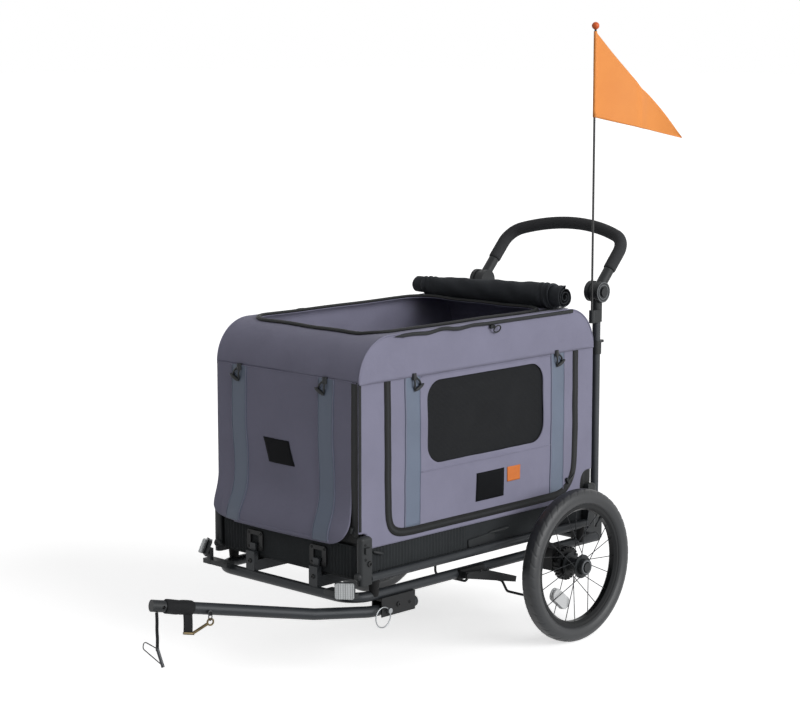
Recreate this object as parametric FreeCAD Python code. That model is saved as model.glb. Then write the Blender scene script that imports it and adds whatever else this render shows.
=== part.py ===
"""Dog bike trailer: a soft cabin on a folding frame, carried by a tube chassis on two wheels.

Millimetres. +X points to the bicycle, +Y to the left, +Z up, and the ground is Z = 0.
Pieces are drawn about the wheel axle (X = 0) and saved about the middle of the whole length.
"""
import FreeCAD, Part
import math
import os

V = FreeCAD.Vector
Y_AXIS = V(0, 1, 0)
Z_AXIS = V(0, 0, 1)
LEFT = 1
RIGHT = -1
SIDES = (LEFT, RIGHT)

# Clearances and cuts
GAP = 0.3
RUNNING_GAP = 0.05
OVERRUN = 5.0
SPREAD = 0.4

# Wheels
WHEEL_RADIUS = 200.0
HALF_TRACK = 361.0
TYRE_WALL = 4.0
RIM_SEAT_RADIUS = 163.0
RIM_BED_RADIUS = 146.0
RIM_WIDTH = 27.0
RIM_WALL = 4.0
RIM_WELL_DEPTH = 5.0
RIM_BED_WIDTH = 14.0
RIM_SHOULDER_DEPTH = 11.0
TYRE_SHOULDER_RISE = 7.0
TYRE_SHOULDER_HALF = 21.0
SPOKE_COUNT = 20
SPOKE_DIAMETER = 2.2
SPOKE_LEAD_DEG = 36.0
SPOKE_HUB_RADIUS = 26.0
SPOKE_RIM_OFFSET = 3.0
SPOKE_END_GAP = 0.7
SPOKE_FACE_GAP = 1.3
FLANGE_RADIUS = 31.0
FLANGE_THICKNESS = 3.0
FLANGE_OFFSET = 19.0
HUB_BARREL_RADIUS = 17.0
HUB_OUTER_END = 26.0
HUB_INNER_END = 28.0
HUB_CLEARANCE_RADIUS = 9.0
HUB_CAP_RADIUS = 21.0
HUB_CAP_HEIGHT = 8.0
BEARING_RADIUS = 14.0
BEARING_WIDTH = 8.0
BRAKE_RING_RADIUS = 44.0
BRAKE_RING_WIDTH = 14.0
BRAKE_TEETH = 24
BRAKE_TOOTH_DEPTH = 5.0
BRAKE_TOOTH_WIDTH = 5.0
AXLE_RADIUS = 6.0
AXLE_COLLAR_RADIUS = 8.5
AXLE_COLLAR_LENGTH = 12.0
RELEASE_RADIUS = 12.0
RELEASE_THICKNESS = 6.0
RELEASE_STANDOFF = 5.5
RELEASE_STEM_RADIUS = 3.5
RELEASE_STEM_LENGTH = 16.0
RELEASE_TRAVEL = 5.0

# Chassis tubes
CHASSIS_Z = 220.0
RAIL_Y = 248.0
CHASSIS_TUBE_RADIUS = 12.7
TUBE_WALL = 2.0
RAIL_REAR_X = -222.0
FRONT_BOW_X = 700.0
BOW_CORNER_RADIUS = 60.0
REAR_TUBE_X = -205.0
CARRIER_LENGTH = 48.0
CARRIER_HEIGHT = 60.0
CARRIER_DROP = 22.0
CARRIER_OUTER_Y = 300.0
AXLE_SEAT_WALL = 8.0

# Carrier frame under the cabin
CARRIER_RAIL_Z = 268.0
CARRIER_RAIL_Y = 258.0
CARRIER_TUBE_RADIUS = 11.0
CROSS_TUBE_RADIUS = 9.0
CROSS_TUBE_SHARES = (0.06, 0.5, 0.94)
CONE_TOP_RADIUS = 15.0
CONE_BOTTOM_RADIUS = 11.0
CONE_INSET = 20.0

# Corner posts and their push buttons
POST_LENGTH = 36.0
POST_WIDTH = 22.0
POST_BOTTOM_Z = 255.0
POST_TOP_Z = 374.0
POST_ROUND = 10.0
POST_PROUD = 6.0
POST_GAP_Y = 4.0
BUTTON_SIDE = 15.0
BUTTON_PROUD = 5.5
BUTTON_BELOW_TOP = 34.0
BUTTON_POCKET_DEPTH = 13.0

# Cabin
CABIN_FRONT_X = 685.0
CABIN_REAR_X = -192.0
CABIN_HALF_WIDTH = 252.0
CABIN_BOTTOM_Z = 348.0
CABIN_TOP_Z = 850.0
CABIN_CORNER_RADIUS = 105.0
CLOTH = 4.0
ROOF_FRONT_EDGE_X = 600.0
ROOF_REAR_EDGE_X = -30.0
ROOF_HALF_OPENING = 220.0
ROOF_CORNER_RADIUS = 60.0
POST_ARCH_GAP = 5.0
WINDOW_REAR_X = 12.0
WINDOW_FRONT_X = 448.0
WINDOW_BOTTOM_Z = 515.0
WINDOW_TOP_Z = 722.0
WINDOW_CORNER_RADIUS = 45.0
WINDOW_MESH = 1.0
ROLL_X = -60.0
ROLL_RADIUS = 34.0
ROLL_HALF_LENGTH = 262.0
ROLL_SWELL_SHARES = ((-1.0, 0.86), (-0.8, 1.0), (-0.45, 0.93), (0.0, 0.97),
                     (0.4, 0.91), (0.8, 1.0), (1.0, 0.9))

# Base tray and mat
TRAY_BOTTOM_Z = 264.0
TRAY_HALF_WIDTH = 241.0
TRAY_WALL = 3.0
TRAY_FLOOR_Z = 283.0
TRAY_FLOOR = 4.0
TRAY_CORNER_RADIUS = 16.0
MAT_HALF_WIDTH = 194.0
MAT_END_GAP = 12.0
MAT_THICKNESS = 25.0
MAT_CORNER_RADIUS = 30.0
MAT_LEVEL_SHARES = ((0.0, 0.25), (0.4, 0.0), (0.75, 0.2), (1.0, 1.4))

# Folding hoop of the cabin
HOOP_RADIUS = 8.0
HOOP_WALL = 1.5
HOOP_PIVOT_Z = 306.0
HOOP_EYE_RADIUS = 10.0
HOOP_TOP_Z = 830.0
HOOP_CORNER_RADIUS = 60.0
HOOP_LEG_Y = 226.0
HOOP_WALL_GAP = 12.0
HOOP_CROSSBAR_X = 615.0
PIVOT_PIN_RADIUS = 5.0

# Front latch clips and docking brackets
CLIP_Y = 114.0
CLIP_Z = 306.0
CLIP_WIDTH = 58.0
CLIP_HEIGHT = 50.0
CLIP_THICKNESS = 8.0
CLIP_WINDOW_WIDTH = 30.0
CLIP_WINDOW_HEIGHT = 28.0
CLIP_ROUND = 8.0
DOCK_WIDTH = 30.0
DOCK_LENGTH = 165.0
DOCK_UPSTAND = 14.0
DOCK_TOP_Z = 258.0
DOCK_SADDLE = 2.0
DOCK_GAP_X = 2.0
TONGUE_WIDTH = 20.0
TONGUE_HEIGHT = 8.0
TONGUE_LENGTH = 9.0
TONGUE_THICKNESS = 5.0

# Front reflectors
LENS_WIDTH = 46.0
LENS_HEIGHT = 38.0
LENS_THICKNESS = 7.0
LENS_X = 734.0
LENS_Y = 244.0
LENS_Z = 250.0
LENS_ROUND = 5.0
HOUSING_DEPTH = 12.0
HOUSING_LIP = 2.0
HOUSING_ARM_HEIGHT = 12.0
HOUSING_ARM_Y = 176.0
HOUSING_STEM = 6.0
LEFT_LENS_TURN_DEG = 38.0
RIGHT_LENS_TURN_DEG = 30.0
RIGHT_LENS_PITCH_DEG = 22.0
RIGHT_LENS_RAISE = 19.0

# Drawbar
DRAWBAR_RADIUS = 14.0
DRAWBAR_Z = 180.0
DRAWBAR_REAR_X = 490.0
DRAWBAR_BEND_1_X = 640.0
DRAWBAR_BEND_2_X = 788.0
DRAWBAR_BEND_2_Y = 203.0
DRAWBAR_BEND_2_Z = 195.0
DRAWBAR_TIP_X = 1195.0
DRAWBAR_TIP_Y = 95.0
DRAWBAR_TIP_Z = 275.0
DRAWBAR_BEND_RADIUS = 110.0
BRACKET_REAR_X = 504.0
BRACKET_LENGTH = 116.0
BRACKET_WALL = 3.0
BRACKET_BOTTOM_Z = 165.0
BRACKET_TOP_RISE = 5.0
LOCK_PIN_X = 600.0
LOCK_PIN_RADIUS = 4.0
LOCK_HEAD_RADIUS = 6.5
LOCK_HEAD_LENGTH = 10.0
LOCK_PIN_TAIL = 5.0
LOCK_RING_RADIUS = 25.0
LOCK_WIRE_RADIUS = 1.6
LOCK_RING_DROP_DEG = -32.0
HEAD_LENGTH = 46.0
HEAD_SPIGOT_LENGTH = 30.0
HITCH_BORE_RADIUS = 4.1
HITCH_BORE_SETBACK = 26.0
STRAP_WRAP_LENGTH = 71.0
STRAP_WRAP_LEAD = 12.0
STRAP_THICKNESS = 2.2
STRAP_TAIL_WIDTH = 23.0
STRAP_TAIL_LENGTH = 38.0
STRAP_TAIL_SETBACK = 43.0
EYE_SETBACK = 96.0
EYE_RADIUS = 5.0
EYE_WIRE_RADIUS = 1.8
EYE_SHANK_RADIUS = 1.4
EYE_STANDOFF = 3.0
EYE_DROP = 6.0
RING_RADIUS = 8.0
RING_WIRE_RADIUS = 1.4
HOOK_BODY_RADIUS = 3.6
HOOK_LOOP_RADIUS = 7.5
HOOK_WIRE_RADIUS = 2.2
HOOK_STRAP_GAP = 2.4

# Lanyard with the hitch pin: the route is a list of points chosen by hand
LANYARD_DIAMETER = 7.5
LANYARD_ROUTE = ((1184.2, 101.0, 257.7), (1183.7, 101.6, 239.7), (1185.3, 102.0, 215.7),
                 (1183.1, 101.5, 193.7), (1184.0, 101.0, 176.7))
LANYARD_RADIUS_SHARE = 0.45
PIN_RADIUS = 4.0
PIN_LENGTH = 44.0
PIN_LEAN_DEG = 20.0
BAIL_WIRE_RADIUS = 1.3
BAIL_TURN_DEG = 74.0
BAIL_TOP_REACH = 37.0
BAIL_TOP_RISE = 13.0
BAIL_BEND_REACH = 40.0
BAIL_BEND_DROP = 5.0
BAIL_CORNER_RADIUS = 7.0

# Parking leg
LEG_PIVOT_X = 330.0
LEG_PIVOT_Z = 219.0
LEG_LENGTH = 188.0
LEG_REST_DEG = 13.0
LEG_ROOT_HEIGHT = 16.0
LEG_CREST_REACH = 82.0
LEG_CREST_HEIGHT = 17.0
LEG_FOOT_HEIGHT = 15.0
LEG_THICKNESS = 16.0
LEG_ROOT_OVERHANG = 9.0
LEG_PIN_RADIUS = 4.0
LEG_PIN_HEAD = 3.0
LEG_BRACKET_LENGTH = 90.0
LEG_BRACKET_LEAD = 10.0
LEG_BRACKET_HEIGHT = 24.0
LEG_BRACKET_WALL = 6.0

# Parking brake bar
BRAKE_BAR_X = -55.0
BRAKE_BAR_RADIUS = 3.5
BRAKE_PIVOT_Z = 194.0
BRAKE_BAR_Z = 68.0
BRAKE_RISER_Y = 190.0
BRAKE_JOURNAL_Y = 244.0
BRAKE_HUMP_HALF = 58.0
BRAKE_HUMP_FOOT = 76.0
BRAKE_HUMP_RISE = 26.0
BRAKE_BEND_RADIUS = 12.0
BRAKE_CLAMP_LENGTH = 24.0
BRAKE_CLAMP_WIDTH = 20.0
BRAKE_CLAMP_DROP = 10.0

# Uprights
UPRIGHT_X = -262.0
UPRIGHT_Y = 206.0
UPRIGHT_RADIUS = 11.0
UPRIGHT_BOTTOM_Z = 206.0
FOOT_WIDTH = 32.0
FOOT_BOTTOM_Z = 203.0
FOOT_TOP_Z = 272.0
FOOT_STEP_Z = 250.0
FOOT_REAR_WALL = 4.0
FOOT_FRONT_WALL = 8.0
SLEEVE_RADIUS = 14.5
SLEEVE_BOTTOM_Z = 796.0
SLEEVE_SOCKET = 34.0
COLLAR_RADIUS = 14.0
COLLAR_BOTTOM_Z = 709.0
COLLAR_HEIGHT = 36.0
COLLAR_HOOK_LENGTH = 12.0
COLLAR_HOOK_WIDTH = 10.0
COLLAR_HOOK_HEIGHT = 7.0

# Handle and its tilt joints
JOINT_Z = 877.0
JOINT_RADIUS = 28.0
JOINT_CORE_RADIUS = 25.0
JOINT_CORE_WIDTH = 20.0
CHEEK_WIDTH = 12.0
CUFF_RADIUS = 14.5
CUFF_SEAT = 44.0
CUFF_TO_GRIP = 2.0
JOINT_BUTTON_RADIUS = 12.5
JOINT_BUTTON_THICKNESS = 9.0
JOINT_BUTTON_PROUD = 5.0
HANDLE_ELEVATION_DEG = 47.5
HANDLE_RADIUS = 11.0
HANDLE_REACH = 219.0
HANDLE_CORNER_SHARE = 0.41
HANDLE_CORNER_DEG = 69.0
GRIP_RADIUS = 16.5
GRIP_START = 74.0

# Safety flag
POLE_OFFSET_X = 34.0
POLE_OFFSET_Y = 11.0
POLE_RADIUS = 3.0
POLE_TOP_Z = 1580.0
POLE_SOCKET_WALL = 4.5
POLE_SOCKET_HEIGHT = 34.0
POLE_WEB_SHARE = 0.6
POLE_SEAT = 6.0
BALL_RADIUS = 10.0
FLAG_TOP_DROP = 14.0
FLAG_TOP_Z = POLE_TOP_Z - FLAG_TOP_DROP
FLAG_HOIST = 224.0
FLAG_FLY = 340.0
FLAG_TIP_DROP = 288.0
FLAG_TIP_Z = FLAG_TOP_Z - FLAG_TIP_DROP
FLAG_TURN_DEG = 6.5
FLAG_CLOTH = 1.0
FLAG_SLEEVE_WALL = 1.2
FLAG_FOLD_SHARES = ((0.25, 0.0), (0.5, 0.035), (0.75, -0.02), (1.0, 0.0))

# The origin lies under the middle of the whole length
POLE_X = UPRIGHT_X + POLE_OFFSET_X
POLE_Y = UPRIGHT_Y + POLE_OFFSET_Y
FLAG_TURN = math.radians(FLAG_TURN_DEG)
REAR_REACH_X = POLE_X - FLAG_FLY * math.cos(FLAG_TURN)
DRAWBAR_BEND_2 = V(DRAWBAR_BEND_2_X, DRAWBAR_BEND_2_Y, DRAWBAR_BEND_2_Z)
DRAWBAR_TIP = V(DRAWBAR_TIP_X, DRAWBAR_TIP_Y, DRAWBAR_TIP_Z)
HEAD_DIRECTION = (DRAWBAR_TIP - DRAWBAR_BEND_2).normalize()
HEAD_EDGE = DRAWBAR_RADIUS * math.hypot(HEAD_DIRECTION.y, HEAD_DIRECTION.z)
FRONT_REACH_X = DRAWBAR_TIP.x + HEAD_EDGE
AXLE_X = -(REAR_REACH_X + FRONT_REACH_X) / 2


def box(x, y, z):
    """A block between pairs of X, Y and Z limits."""
    low = V(min(x), min(y), min(z))
    size = V(max(x), max(y), max(z)) - low
    return Part.makeBox(size.x, size.y, size.z, low)


def rod(radius, start, end):
    """A round rod from one point to another."""
    along = end - start
    return Part.makeCylinder(radius, along.Length, start, along)


def pipe(outer, wall, start, end):
    """A straight round tube."""
    along = (end - start).normalize() * OVERRUN
    return rod(outer, start, end).cut(rod(outer - wall, start - along, end + along))


def bent_path(points, radii):
    """Straight runs joined by tangent arcs, one radius for each inner point."""
    edges = []
    here = points[0]
    for before, corner, after, radius in zip(points, points[1:], points[2:], radii):
        into = (corner - before).normalize()
        out = (after - corner).normalize()
        turn = into.getAngle(out)
        cut = radius * math.tan(turn / 2)
        start = corner - into * cut
        end = corner + out * cut
        middle = corner + (out - into).normalize() * (radius / math.cos(turn / 2) - radius)
        if (start - here).Length > RUNNING_GAP:
            edges.append(Part.LineSegment(here, start).toShape())
        edges.append(Part.Arc(start, middle, end).toShape())
        here = end
    if (points[-1] - here).Length > RUNNING_GAP:
        edges.append(Part.LineSegment(here, points[-1]).toShape())
    return Part.Wire(edges)


def swept(path, radius):
    """A round bar along a path."""
    edge = path.OrderedEdges[0]
    start = edge.valueAt(edge.FirstParameter)
    along = edge.tangentAt(edge.FirstParameter)
    if (start - path.OrderedVertexes[0].Point).Length > RUNNING_GAP:
        start = edge.valueAt(edge.LastParameter)
        along = edge.tangentAt(edge.LastParameter)
    ring = Part.Wire([Part.makeCircle(radius, start, along)])
    return path.makePipeShell([ring], True, False)


def bent_tube(path, outer, wall):
    """A hollow round tube along a path."""
    return swept(path, outer).cut(swept(path, outer - wall))


def prism(points, along):
    """A flat outline of straight lines, carried along a vector."""
    return Part.Face(Part.makePolygon(points + points[:1])).extrude(along)


def turned(points):
    """A ring about the Y axis from (radius, y) points."""
    outline = [V(radius, y, 0) for radius, y in points]
    face = Part.Face(Part.makePolygon(outline + outline[:1]))
    return face.revolve(V(), Y_AXIS, 360)


def rounded_outline(x, z, corner, y):
    """A rounded rectangle in the XZ plane at a Y, as a wire."""
    x0, x1 = x
    z0, z1 = z
    half = corner * math.sin(math.pi / 4)
    edges = []
    for cx, cz, sx, sz in ((x1 - corner, z0 + corner, 1, -1), (x1 - corner, z1 - corner, 1, 1),
                           (x0 + corner, z1 - corner, -1, 1), (x0 + corner, z0 + corner, -1, -1)):
        side = V(cx + sx * corner, y, cz)
        end = V(cx, y, cz + sz * corner)
        first, last = (end, side) if sx * sz < 0 else (side, end)
        edges.append(Part.Arc(first, V(cx + sx * half, y, cz + sz * half), last).toShape())
    runs = []
    for arc, after in zip(edges, edges[1:] + edges[:1]):
        runs.append(arc)
        tail = arc.Vertexes[-1].Point
        head = after.Vertexes[0].Point
        runs.append(Part.LineSegment(tail, head).toShape())
    return Part.Wire(runs)


def mirrored(shape, side):
    """The shape itself on the left, and its mirror image on the right."""
    return shape if side == LEFT else shape.mirror(V(), Y_AXIS)


def save(node, *solids):
    """Writes one node about the object's own origin."""
    shape = solids[0] if len(solids) == 1 else Part.makeCompound(list(solids))
    placed = shape.copy()
    placed.translate(V(AXLE_X, 0, 0))
    placed.exportStep("parts/%s.step" % node)


# Wheels, drawn about their own centre with +Y outward, then put on the axle

def tyre():
    half_bead = RIM_WIDTH / 2
    shoulder = RIM_SEAT_RADIUS + TYRE_SHOULDER_RISE
    rows = []
    for inset in (0, TYRE_WALL):
        bead = V(RIM_SEAT_RADIUS, half_bead - inset, 0)
        side = V(shoulder, TYRE_SHOULDER_HALF - inset, 0)
        rows.append((bead, side, V(WHEEL_RADIUS - inset, 0, 0)))
    edges = []
    for bead, side, crown in rows:
        far_side = V(side.x, -side.y, 0)
        far_bead = V(bead.x, -bead.y, 0)
        edges.append(Part.LineSegment(bead, side).toShape())
        edges.append(Part.Arc(side, crown, far_side).toShape())
        edges.append(Part.LineSegment(far_side, far_bead).toShape())
    outer, inner = rows[0][0], rows[1][0]
    for sign in SIDES:
        edges.append(Part.LineSegment(V(outer.x, sign * outer.y, 0),
                                      V(inner.x, sign * inner.y, 0)).toShape())
    section = Part.Face(Part.Wire(Part.__sortEdges__(edges)))
    return section.revolve(V(), Y_AXIS, 360)


def rim():
    half = RIM_WIDTH / 2
    well = half - RIM_WALL
    seat = RIM_SEAT_RADIUS
    points = [(seat, half), (seat, well), (seat - RIM_WELL_DEPTH, well), (seat - RIM_WELL_DEPTH, -well),
              (seat, -well), (seat, -half), (seat - RIM_SHOULDER_DEPTH, -half),
              (RIM_BED_RADIUS, -RIM_BED_WIDTH / 2), (RIM_BED_RADIUS, RIM_BED_WIDTH / 2),
              (seat - RIM_SHOULDER_DEPTH, half)]
    return turned(points)


def hub():
    inner = -HUB_INNER_END
    cap_end = HUB_OUTER_END + HUB_CAP_HEIGHT
    recess = RELEASE_RADIUS + SPREAD
    flange_in = FLANGE_OFFSET - FLANGE_THICKNESS / 2
    flange_out = FLANGE_OFFSET + FLANGE_THICKNESS / 2
    points = [(BEARING_RADIUS, inner), (HUB_BARREL_RADIUS, inner),
              (HUB_BARREL_RADIUS, -flange_out), (FLANGE_RADIUS, -flange_out), (FLANGE_RADIUS, -flange_in),
              (HUB_BARREL_RADIUS, -flange_in), (HUB_BARREL_RADIUS, flange_in), (FLANGE_RADIUS, flange_in),
              (FLANGE_RADIUS, flange_out), (HUB_CAP_RADIUS, flange_out), (HUB_CAP_RADIUS, cap_end),
              (recess, cap_end), (recess, HUB_OUTER_END), (BEARING_RADIUS, HUB_OUTER_END),
              (BEARING_RADIUS, HUB_OUTER_END - BEARING_WIDTH),
              (HUB_CLEARANCE_RADIUS, HUB_OUTER_END - BEARING_WIDTH),
              (HUB_CLEARANCE_RADIUS, inner + BEARING_WIDTH), (BEARING_RADIUS, inner + BEARING_WIDTH)]
    if recess < BEARING_RADIUS:
        points[12] = (BEARING_RADIUS, HUB_OUTER_END)
        points[11] = (BEARING_RADIUS, cap_end)
        points.pop(13)
    return turned(points)


def bearings():
    bore = AXLE_RADIUS + RUNNING_GAP
    rings = []
    for start in (-HUB_INNER_END, HUB_OUTER_END - BEARING_WIDTH):
        end = start + BEARING_WIDTH
        rings.append(turned([(bore, start), (BEARING_RADIUS, start), (BEARING_RADIUS, end), (bore, end)]))
    return rings


def brake_ring():
    outer_face = -HUB_INNER_END
    inner_face = outer_face - BRAKE_RING_WIDTH
    ring = turned([(HUB_CLEARANCE_RADIUS, inner_face), (BRAKE_RING_RADIUS, inner_face),
                   (BRAKE_RING_RADIUS, outer_face), (HUB_CLEARANCE_RADIUS, outer_face)])
    root = BRAKE_RING_RADIUS - BRAKE_TOOTH_DEPTH
    half = BRAKE_TOOTH_WIDTH / 2
    gap = box((root, BRAKE_RING_RADIUS + OVERRUN), (inner_face - OVERRUN, outer_face + OVERRUN),
              (-half, half))
    gaps = []
    for tooth in range(BRAKE_TEETH):
        notch = gap.copy()
        notch.rotate(V(), Y_AXIS, 360.0 * tooth / BRAKE_TEETH)
        gaps.append(notch)
    return ring.cut(gaps)


def spokes():
    radius = SPOKE_DIAMETER / 2
    per_flange = SPOKE_COUNT // 2
    outer_y = FLANGE_OFFSET + FLANGE_THICKNESS / 2 + radius + SPOKE_FACE_GAP
    inner_y = FLANGE_OFFSET - FLANGE_THICKNESS / 2 - radius - GAP
    tip = RIM_BED_RADIUS - SPOKE_END_GAP
    bars = []
    for flange in SIDES:
        for index in range(per_flange):
            base = 360.0 / per_flange * (index + (0.5 if flange < 0 else 0))
            leads = index % 2 == 0
            at_hub = math.radians(base)
            at_rim = math.radians(base + (SPOKE_LEAD_DEG if leads else -SPOKE_LEAD_DEG))
            start_y = flange * (outer_y if leads else inner_y)
            start = V(SPOKE_HUB_RADIUS * math.cos(at_hub), start_y, SPOKE_HUB_RADIUS * math.sin(at_hub))
            end = V(tip * math.cos(at_rim), flange * SPOKE_RIM_OFFSET, tip * math.sin(at_rim))
            bars.append(rod(radius, start, end))
    return bars


def release_button():
    face = HUB_OUTER_END + RELEASE_STANDOFF
    head = rod(RELEASE_RADIUS, V(0, face, 0), V(0, face + RELEASE_THICKNESS, 0))
    stem = rod(RELEASE_STEM_RADIUS, V(0, face - RELEASE_STEM_LENGTH, 0), V(0, face, 0))
    return head.fuse(stem)


def axle_shaft():
    outer = HUB_OUTER_END
    inner = RAIL_Y + CHASSIS_TUBE_RADIUS + AXLE_SEAT_WALL - HALF_TRACK
    shaft = rod(AXLE_RADIUS, V(0, inner, 0), V(0, outer, 0))
    collar_start = CARRIER_OUTER_Y - HALF_TRACK
    collar = rod(AXLE_COLLAR_RADIUS, V(0, collar_start, 0), V(0, collar_start + AXLE_COLLAR_LENGTH, 0))
    socket_end = outer + RELEASE_STANDOFF - RELEASE_STEM_LENGTH - RELEASE_TRAVEL - GAP
    socket = rod(RELEASE_STEM_RADIUS + RUNNING_GAP, V(0, socket_end, 0), V(0, outer + OVERRUN, 0))
    return shaft.fuse(collar).cut(socket)


def on_axle(shape, side):
    """Puts a wheel piece at its end of the axle line."""
    placed = shape.copy()
    placed.translate(V(0, HALF_TRACK, WHEEL_RADIUS))
    return mirrored(placed, side)


def wheels():
    spoke_bars = spokes()
    rings = bearings()
    for name, side in (("left", LEFT), ("right", RIGHT)):
        save(name + "_tyre", on_axle(tyre(), side))
        save(name + "_rim", on_axle(rim(), side))
        save(name + "_spokes", *[on_axle(bar, side) for bar in spoke_bars])
        save(name + "_hub", on_axle(hub(), side))
        save(name + "_bearings", *[on_axle(ring, side) for ring in rings])
        save(name + "_brake_ring", on_axle(brake_ring(), side))
        save(name + "_release_button", on_axle(release_button(), side))
    save("axle_shafts", *[on_axle(axle_shaft(), side) for side in SIDES])


# Chassis

def rail_core(side):
    """The full outside of a chassis rail, for seating other pieces on it."""
    start = V(RAIL_REAR_X, side * RAIL_Y, CHASSIS_Z)
    return rod(CHASSIS_TUBE_RADIUS, start, V(FRONT_BOW_X - BOW_CORNER_RADIUS, side * RAIL_Y, CHASSIS_Z))


def bow_path():
    start_x = FRONT_BOW_X - BOW_CORNER_RADIUS
    points = [V(start_x, RAIL_Y, CHASSIS_Z), V(FRONT_BOW_X, RAIL_Y, CHASSIS_Z),
              V(FRONT_BOW_X, -RAIL_Y, CHASSIS_Z), V(start_x, -RAIL_Y, CHASSIS_Z)]
    return bent_path(points, [BOW_CORNER_RADIUS, BOW_CORNER_RADIUS])


def chassis():
    tubes = []
    front_x = FRONT_BOW_X - BOW_CORNER_RADIUS
    for side in SIDES:
        start = V(RAIL_REAR_X, side * RAIL_Y, CHASSIS_Z)
        tubes.append(pipe(CHASSIS_TUBE_RADIUS, TUBE_WALL, start, V(front_x, side * RAIL_Y, CHASSIS_Z)))
    rear = pipe(CHASSIS_TUBE_RADIUS, TUBE_WALL, V(REAR_TUBE_X, -RAIL_Y, CHASSIS_Z),
                V(REAR_TUBE_X, RAIL_Y, CHASSIS_Z))
    tubes.append(rear.cut([rail_core(side) for side in SIDES]))
    tubes.append(bent_tube(bow_path(), CHASSIS_TUBE_RADIUS, TUBE_WALL))
    save("chassis_tubes", *tubes)
    carriers = []
    for side in SIDES:
        half = CARRIER_LENGTH / 2
        top = WHEEL_RADIUS - CARRIER_DROP + CARRIER_HEIGHT
        block = box((-half, half), (RAIL_Y, CARRIER_OUTER_Y), (top - CARRIER_HEIGHT, top))
        bore_start = RAIL_Y + CHASSIS_TUBE_RADIUS + AXLE_SEAT_WALL
        bore = rod(AXLE_RADIUS, V(0, bore_start, WHEEL_RADIUS),
                   V(0, CARRIER_OUTER_Y + OVERRUN, WHEEL_RADIUS))
        carriers.append(mirrored(block.cut([rail_core(LEFT), bore]), side))
    save("axle_carriers", *carriers)


# Corner posts with hinge pins, and the carrier frame between them

def post_span(front):
    """The X limits of a front or rear corner post."""
    if front:
        outer = CABIN_FRONT_X + POST_PROUD
        return outer - POST_LENGTH, outer
    outer = CABIN_REAR_X - POST_PROUD
    return outer, outer + POST_LENGTH


def hoop_x():
    """The X of the hoop's pivots, just inside the cabin's front wall."""
    return CABIN_FRONT_X - CLOTH - HOOP_WALL_GAP - HOOP_RADIUS


POST_INNER_Y = TRAY_HALF_WIDTH + POST_GAP_Y
POST_OUTER_Y = POST_INNER_Y + POST_WIDTH
BUTTON_Z = POST_TOP_Z - BUTTON_BELOW_TOP


def post_block(front, grow):
    low_x, high_x = post_span(front)
    block = box((low_x - grow, high_x + grow), (POST_INNER_Y - grow, POST_OUTER_Y + grow),
                (POST_BOTTOM_Z - grow, POST_TOP_Z + grow))
    end_x = high_x + grow if front else low_x - grow
    edges = []
    for edge in block.Edges:
        ends = [vertex.Point for vertex in edge.Vertexes]
        at_top = min(point.z for point in ends) > POST_TOP_Z - POST_ROUND
        upright = max(point.z for point in ends) > POST_TOP_Z - POST_ROUND
        at_end = all(abs(point.x - end_x) < RUNNING_GAP for point in ends)
        if at_top or (upright and at_end):
            edges.append(edge)
    return block.makeFillet(POST_ROUND, edges)


def corner_posts():
    middle = sum(post_span(True)) / 2
    room = BUTTON_SIDE / 2 + GAP
    pocket = box((middle - room, middle + room),
                 (POST_OUTER_Y - BUTTON_POCKET_DEPTH, POST_OUTER_Y + OVERRUN),
                 (BUTTON_Z - room, BUTTON_Z + room))
    pin_x = hoop_x()
    pin = rod(PIVOT_PIN_RADIUS, V(pin_x, POST_INNER_Y + OVERRUN, HOOP_PIVOT_Z),
              V(pin_x, HOOP_LEG_Y - HOOP_RADIUS, HOOP_PIVOT_Z))
    front_post = post_block(True, 0).fuse(pin).cut(pocket)
    rear_post = post_block(False, 0)
    save("corner_posts", *[mirrored(post, side) for post in (front_post, rear_post) for side in SIDES])
    half = BUTTON_SIDE / 2
    inner = POST_OUTER_Y + BUTTON_PROUD - BUTTON_POCKET_DEPTH
    cap = box((middle - half, middle + half), (inner, POST_OUTER_Y + BUTTON_PROUD),
              (BUTTON_Z - half, BUTTON_Z + half))
    for name, side in (("left", LEFT), ("right", RIGHT)):
        save(name + "_post_button", mirrored(cap, side))


def carrier_frame():
    rear_x = post_span(False)[1]
    front_x = post_span(True)[0]
    cores = []
    tubes = []
    for side in SIDES:
        start = V(rear_x, side * CARRIER_RAIL_Y, CARRIER_RAIL_Z)
        end = V(front_x, side * CARRIER_RAIL_Y, CARRIER_RAIL_Z)
        cores.append(rod(CARRIER_TUBE_RADIUS, start, end))
        tubes.append(pipe(CARRIER_TUBE_RADIUS, TUBE_WALL, start, end))
    for share in CROSS_TUBE_SHARES:
        x = rear_x + share * (front_x - rear_x)
        cross = pipe(CROSS_TUBE_RADIUS, TUBE_WALL, V(x, -CARRIER_RAIL_Y, CARRIER_RAIL_Z),
                     V(x, CARRIER_RAIL_Y, CARRIER_RAIL_Z))
        tubes.append(cross.cut(cores))
    save("carrier_frame", *tubes)
    cones = []
    middle_y = (RAIL_Y + CARRIER_RAIL_Y) / 2
    tray_half = TRAY_HALF_WIDTH + GAP
    tray_room = box((CABIN_REAR_X, CABIN_FRONT_X), (-tray_half, tray_half),
                    (TRAY_BOTTOM_Z - GAP, CARRIER_RAIL_Z + OVERRUN))
    bow = swept(bow_path(), CHASSIS_TUBE_RADIUS)
    for x in (rear_x + CONE_INSET, front_x - CONE_INSET):
        for side, core in zip(SIDES, cores):
            foot = V(x, side * middle_y, CHASSIS_Z)
            cone = Part.makeCone(CONE_BOTTOM_RADIUS, CONE_TOP_RADIUS, CARRIER_RAIL_Z - CHASSIS_Z, foot)
            seated = cone.cut([core, rail_core(side), tray_room, bow])
            cones.append(max(seated.Solids, key=lambda solid: solid.Volume))
    save("buffer_cones", *cones)


# Base tray and mat

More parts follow.
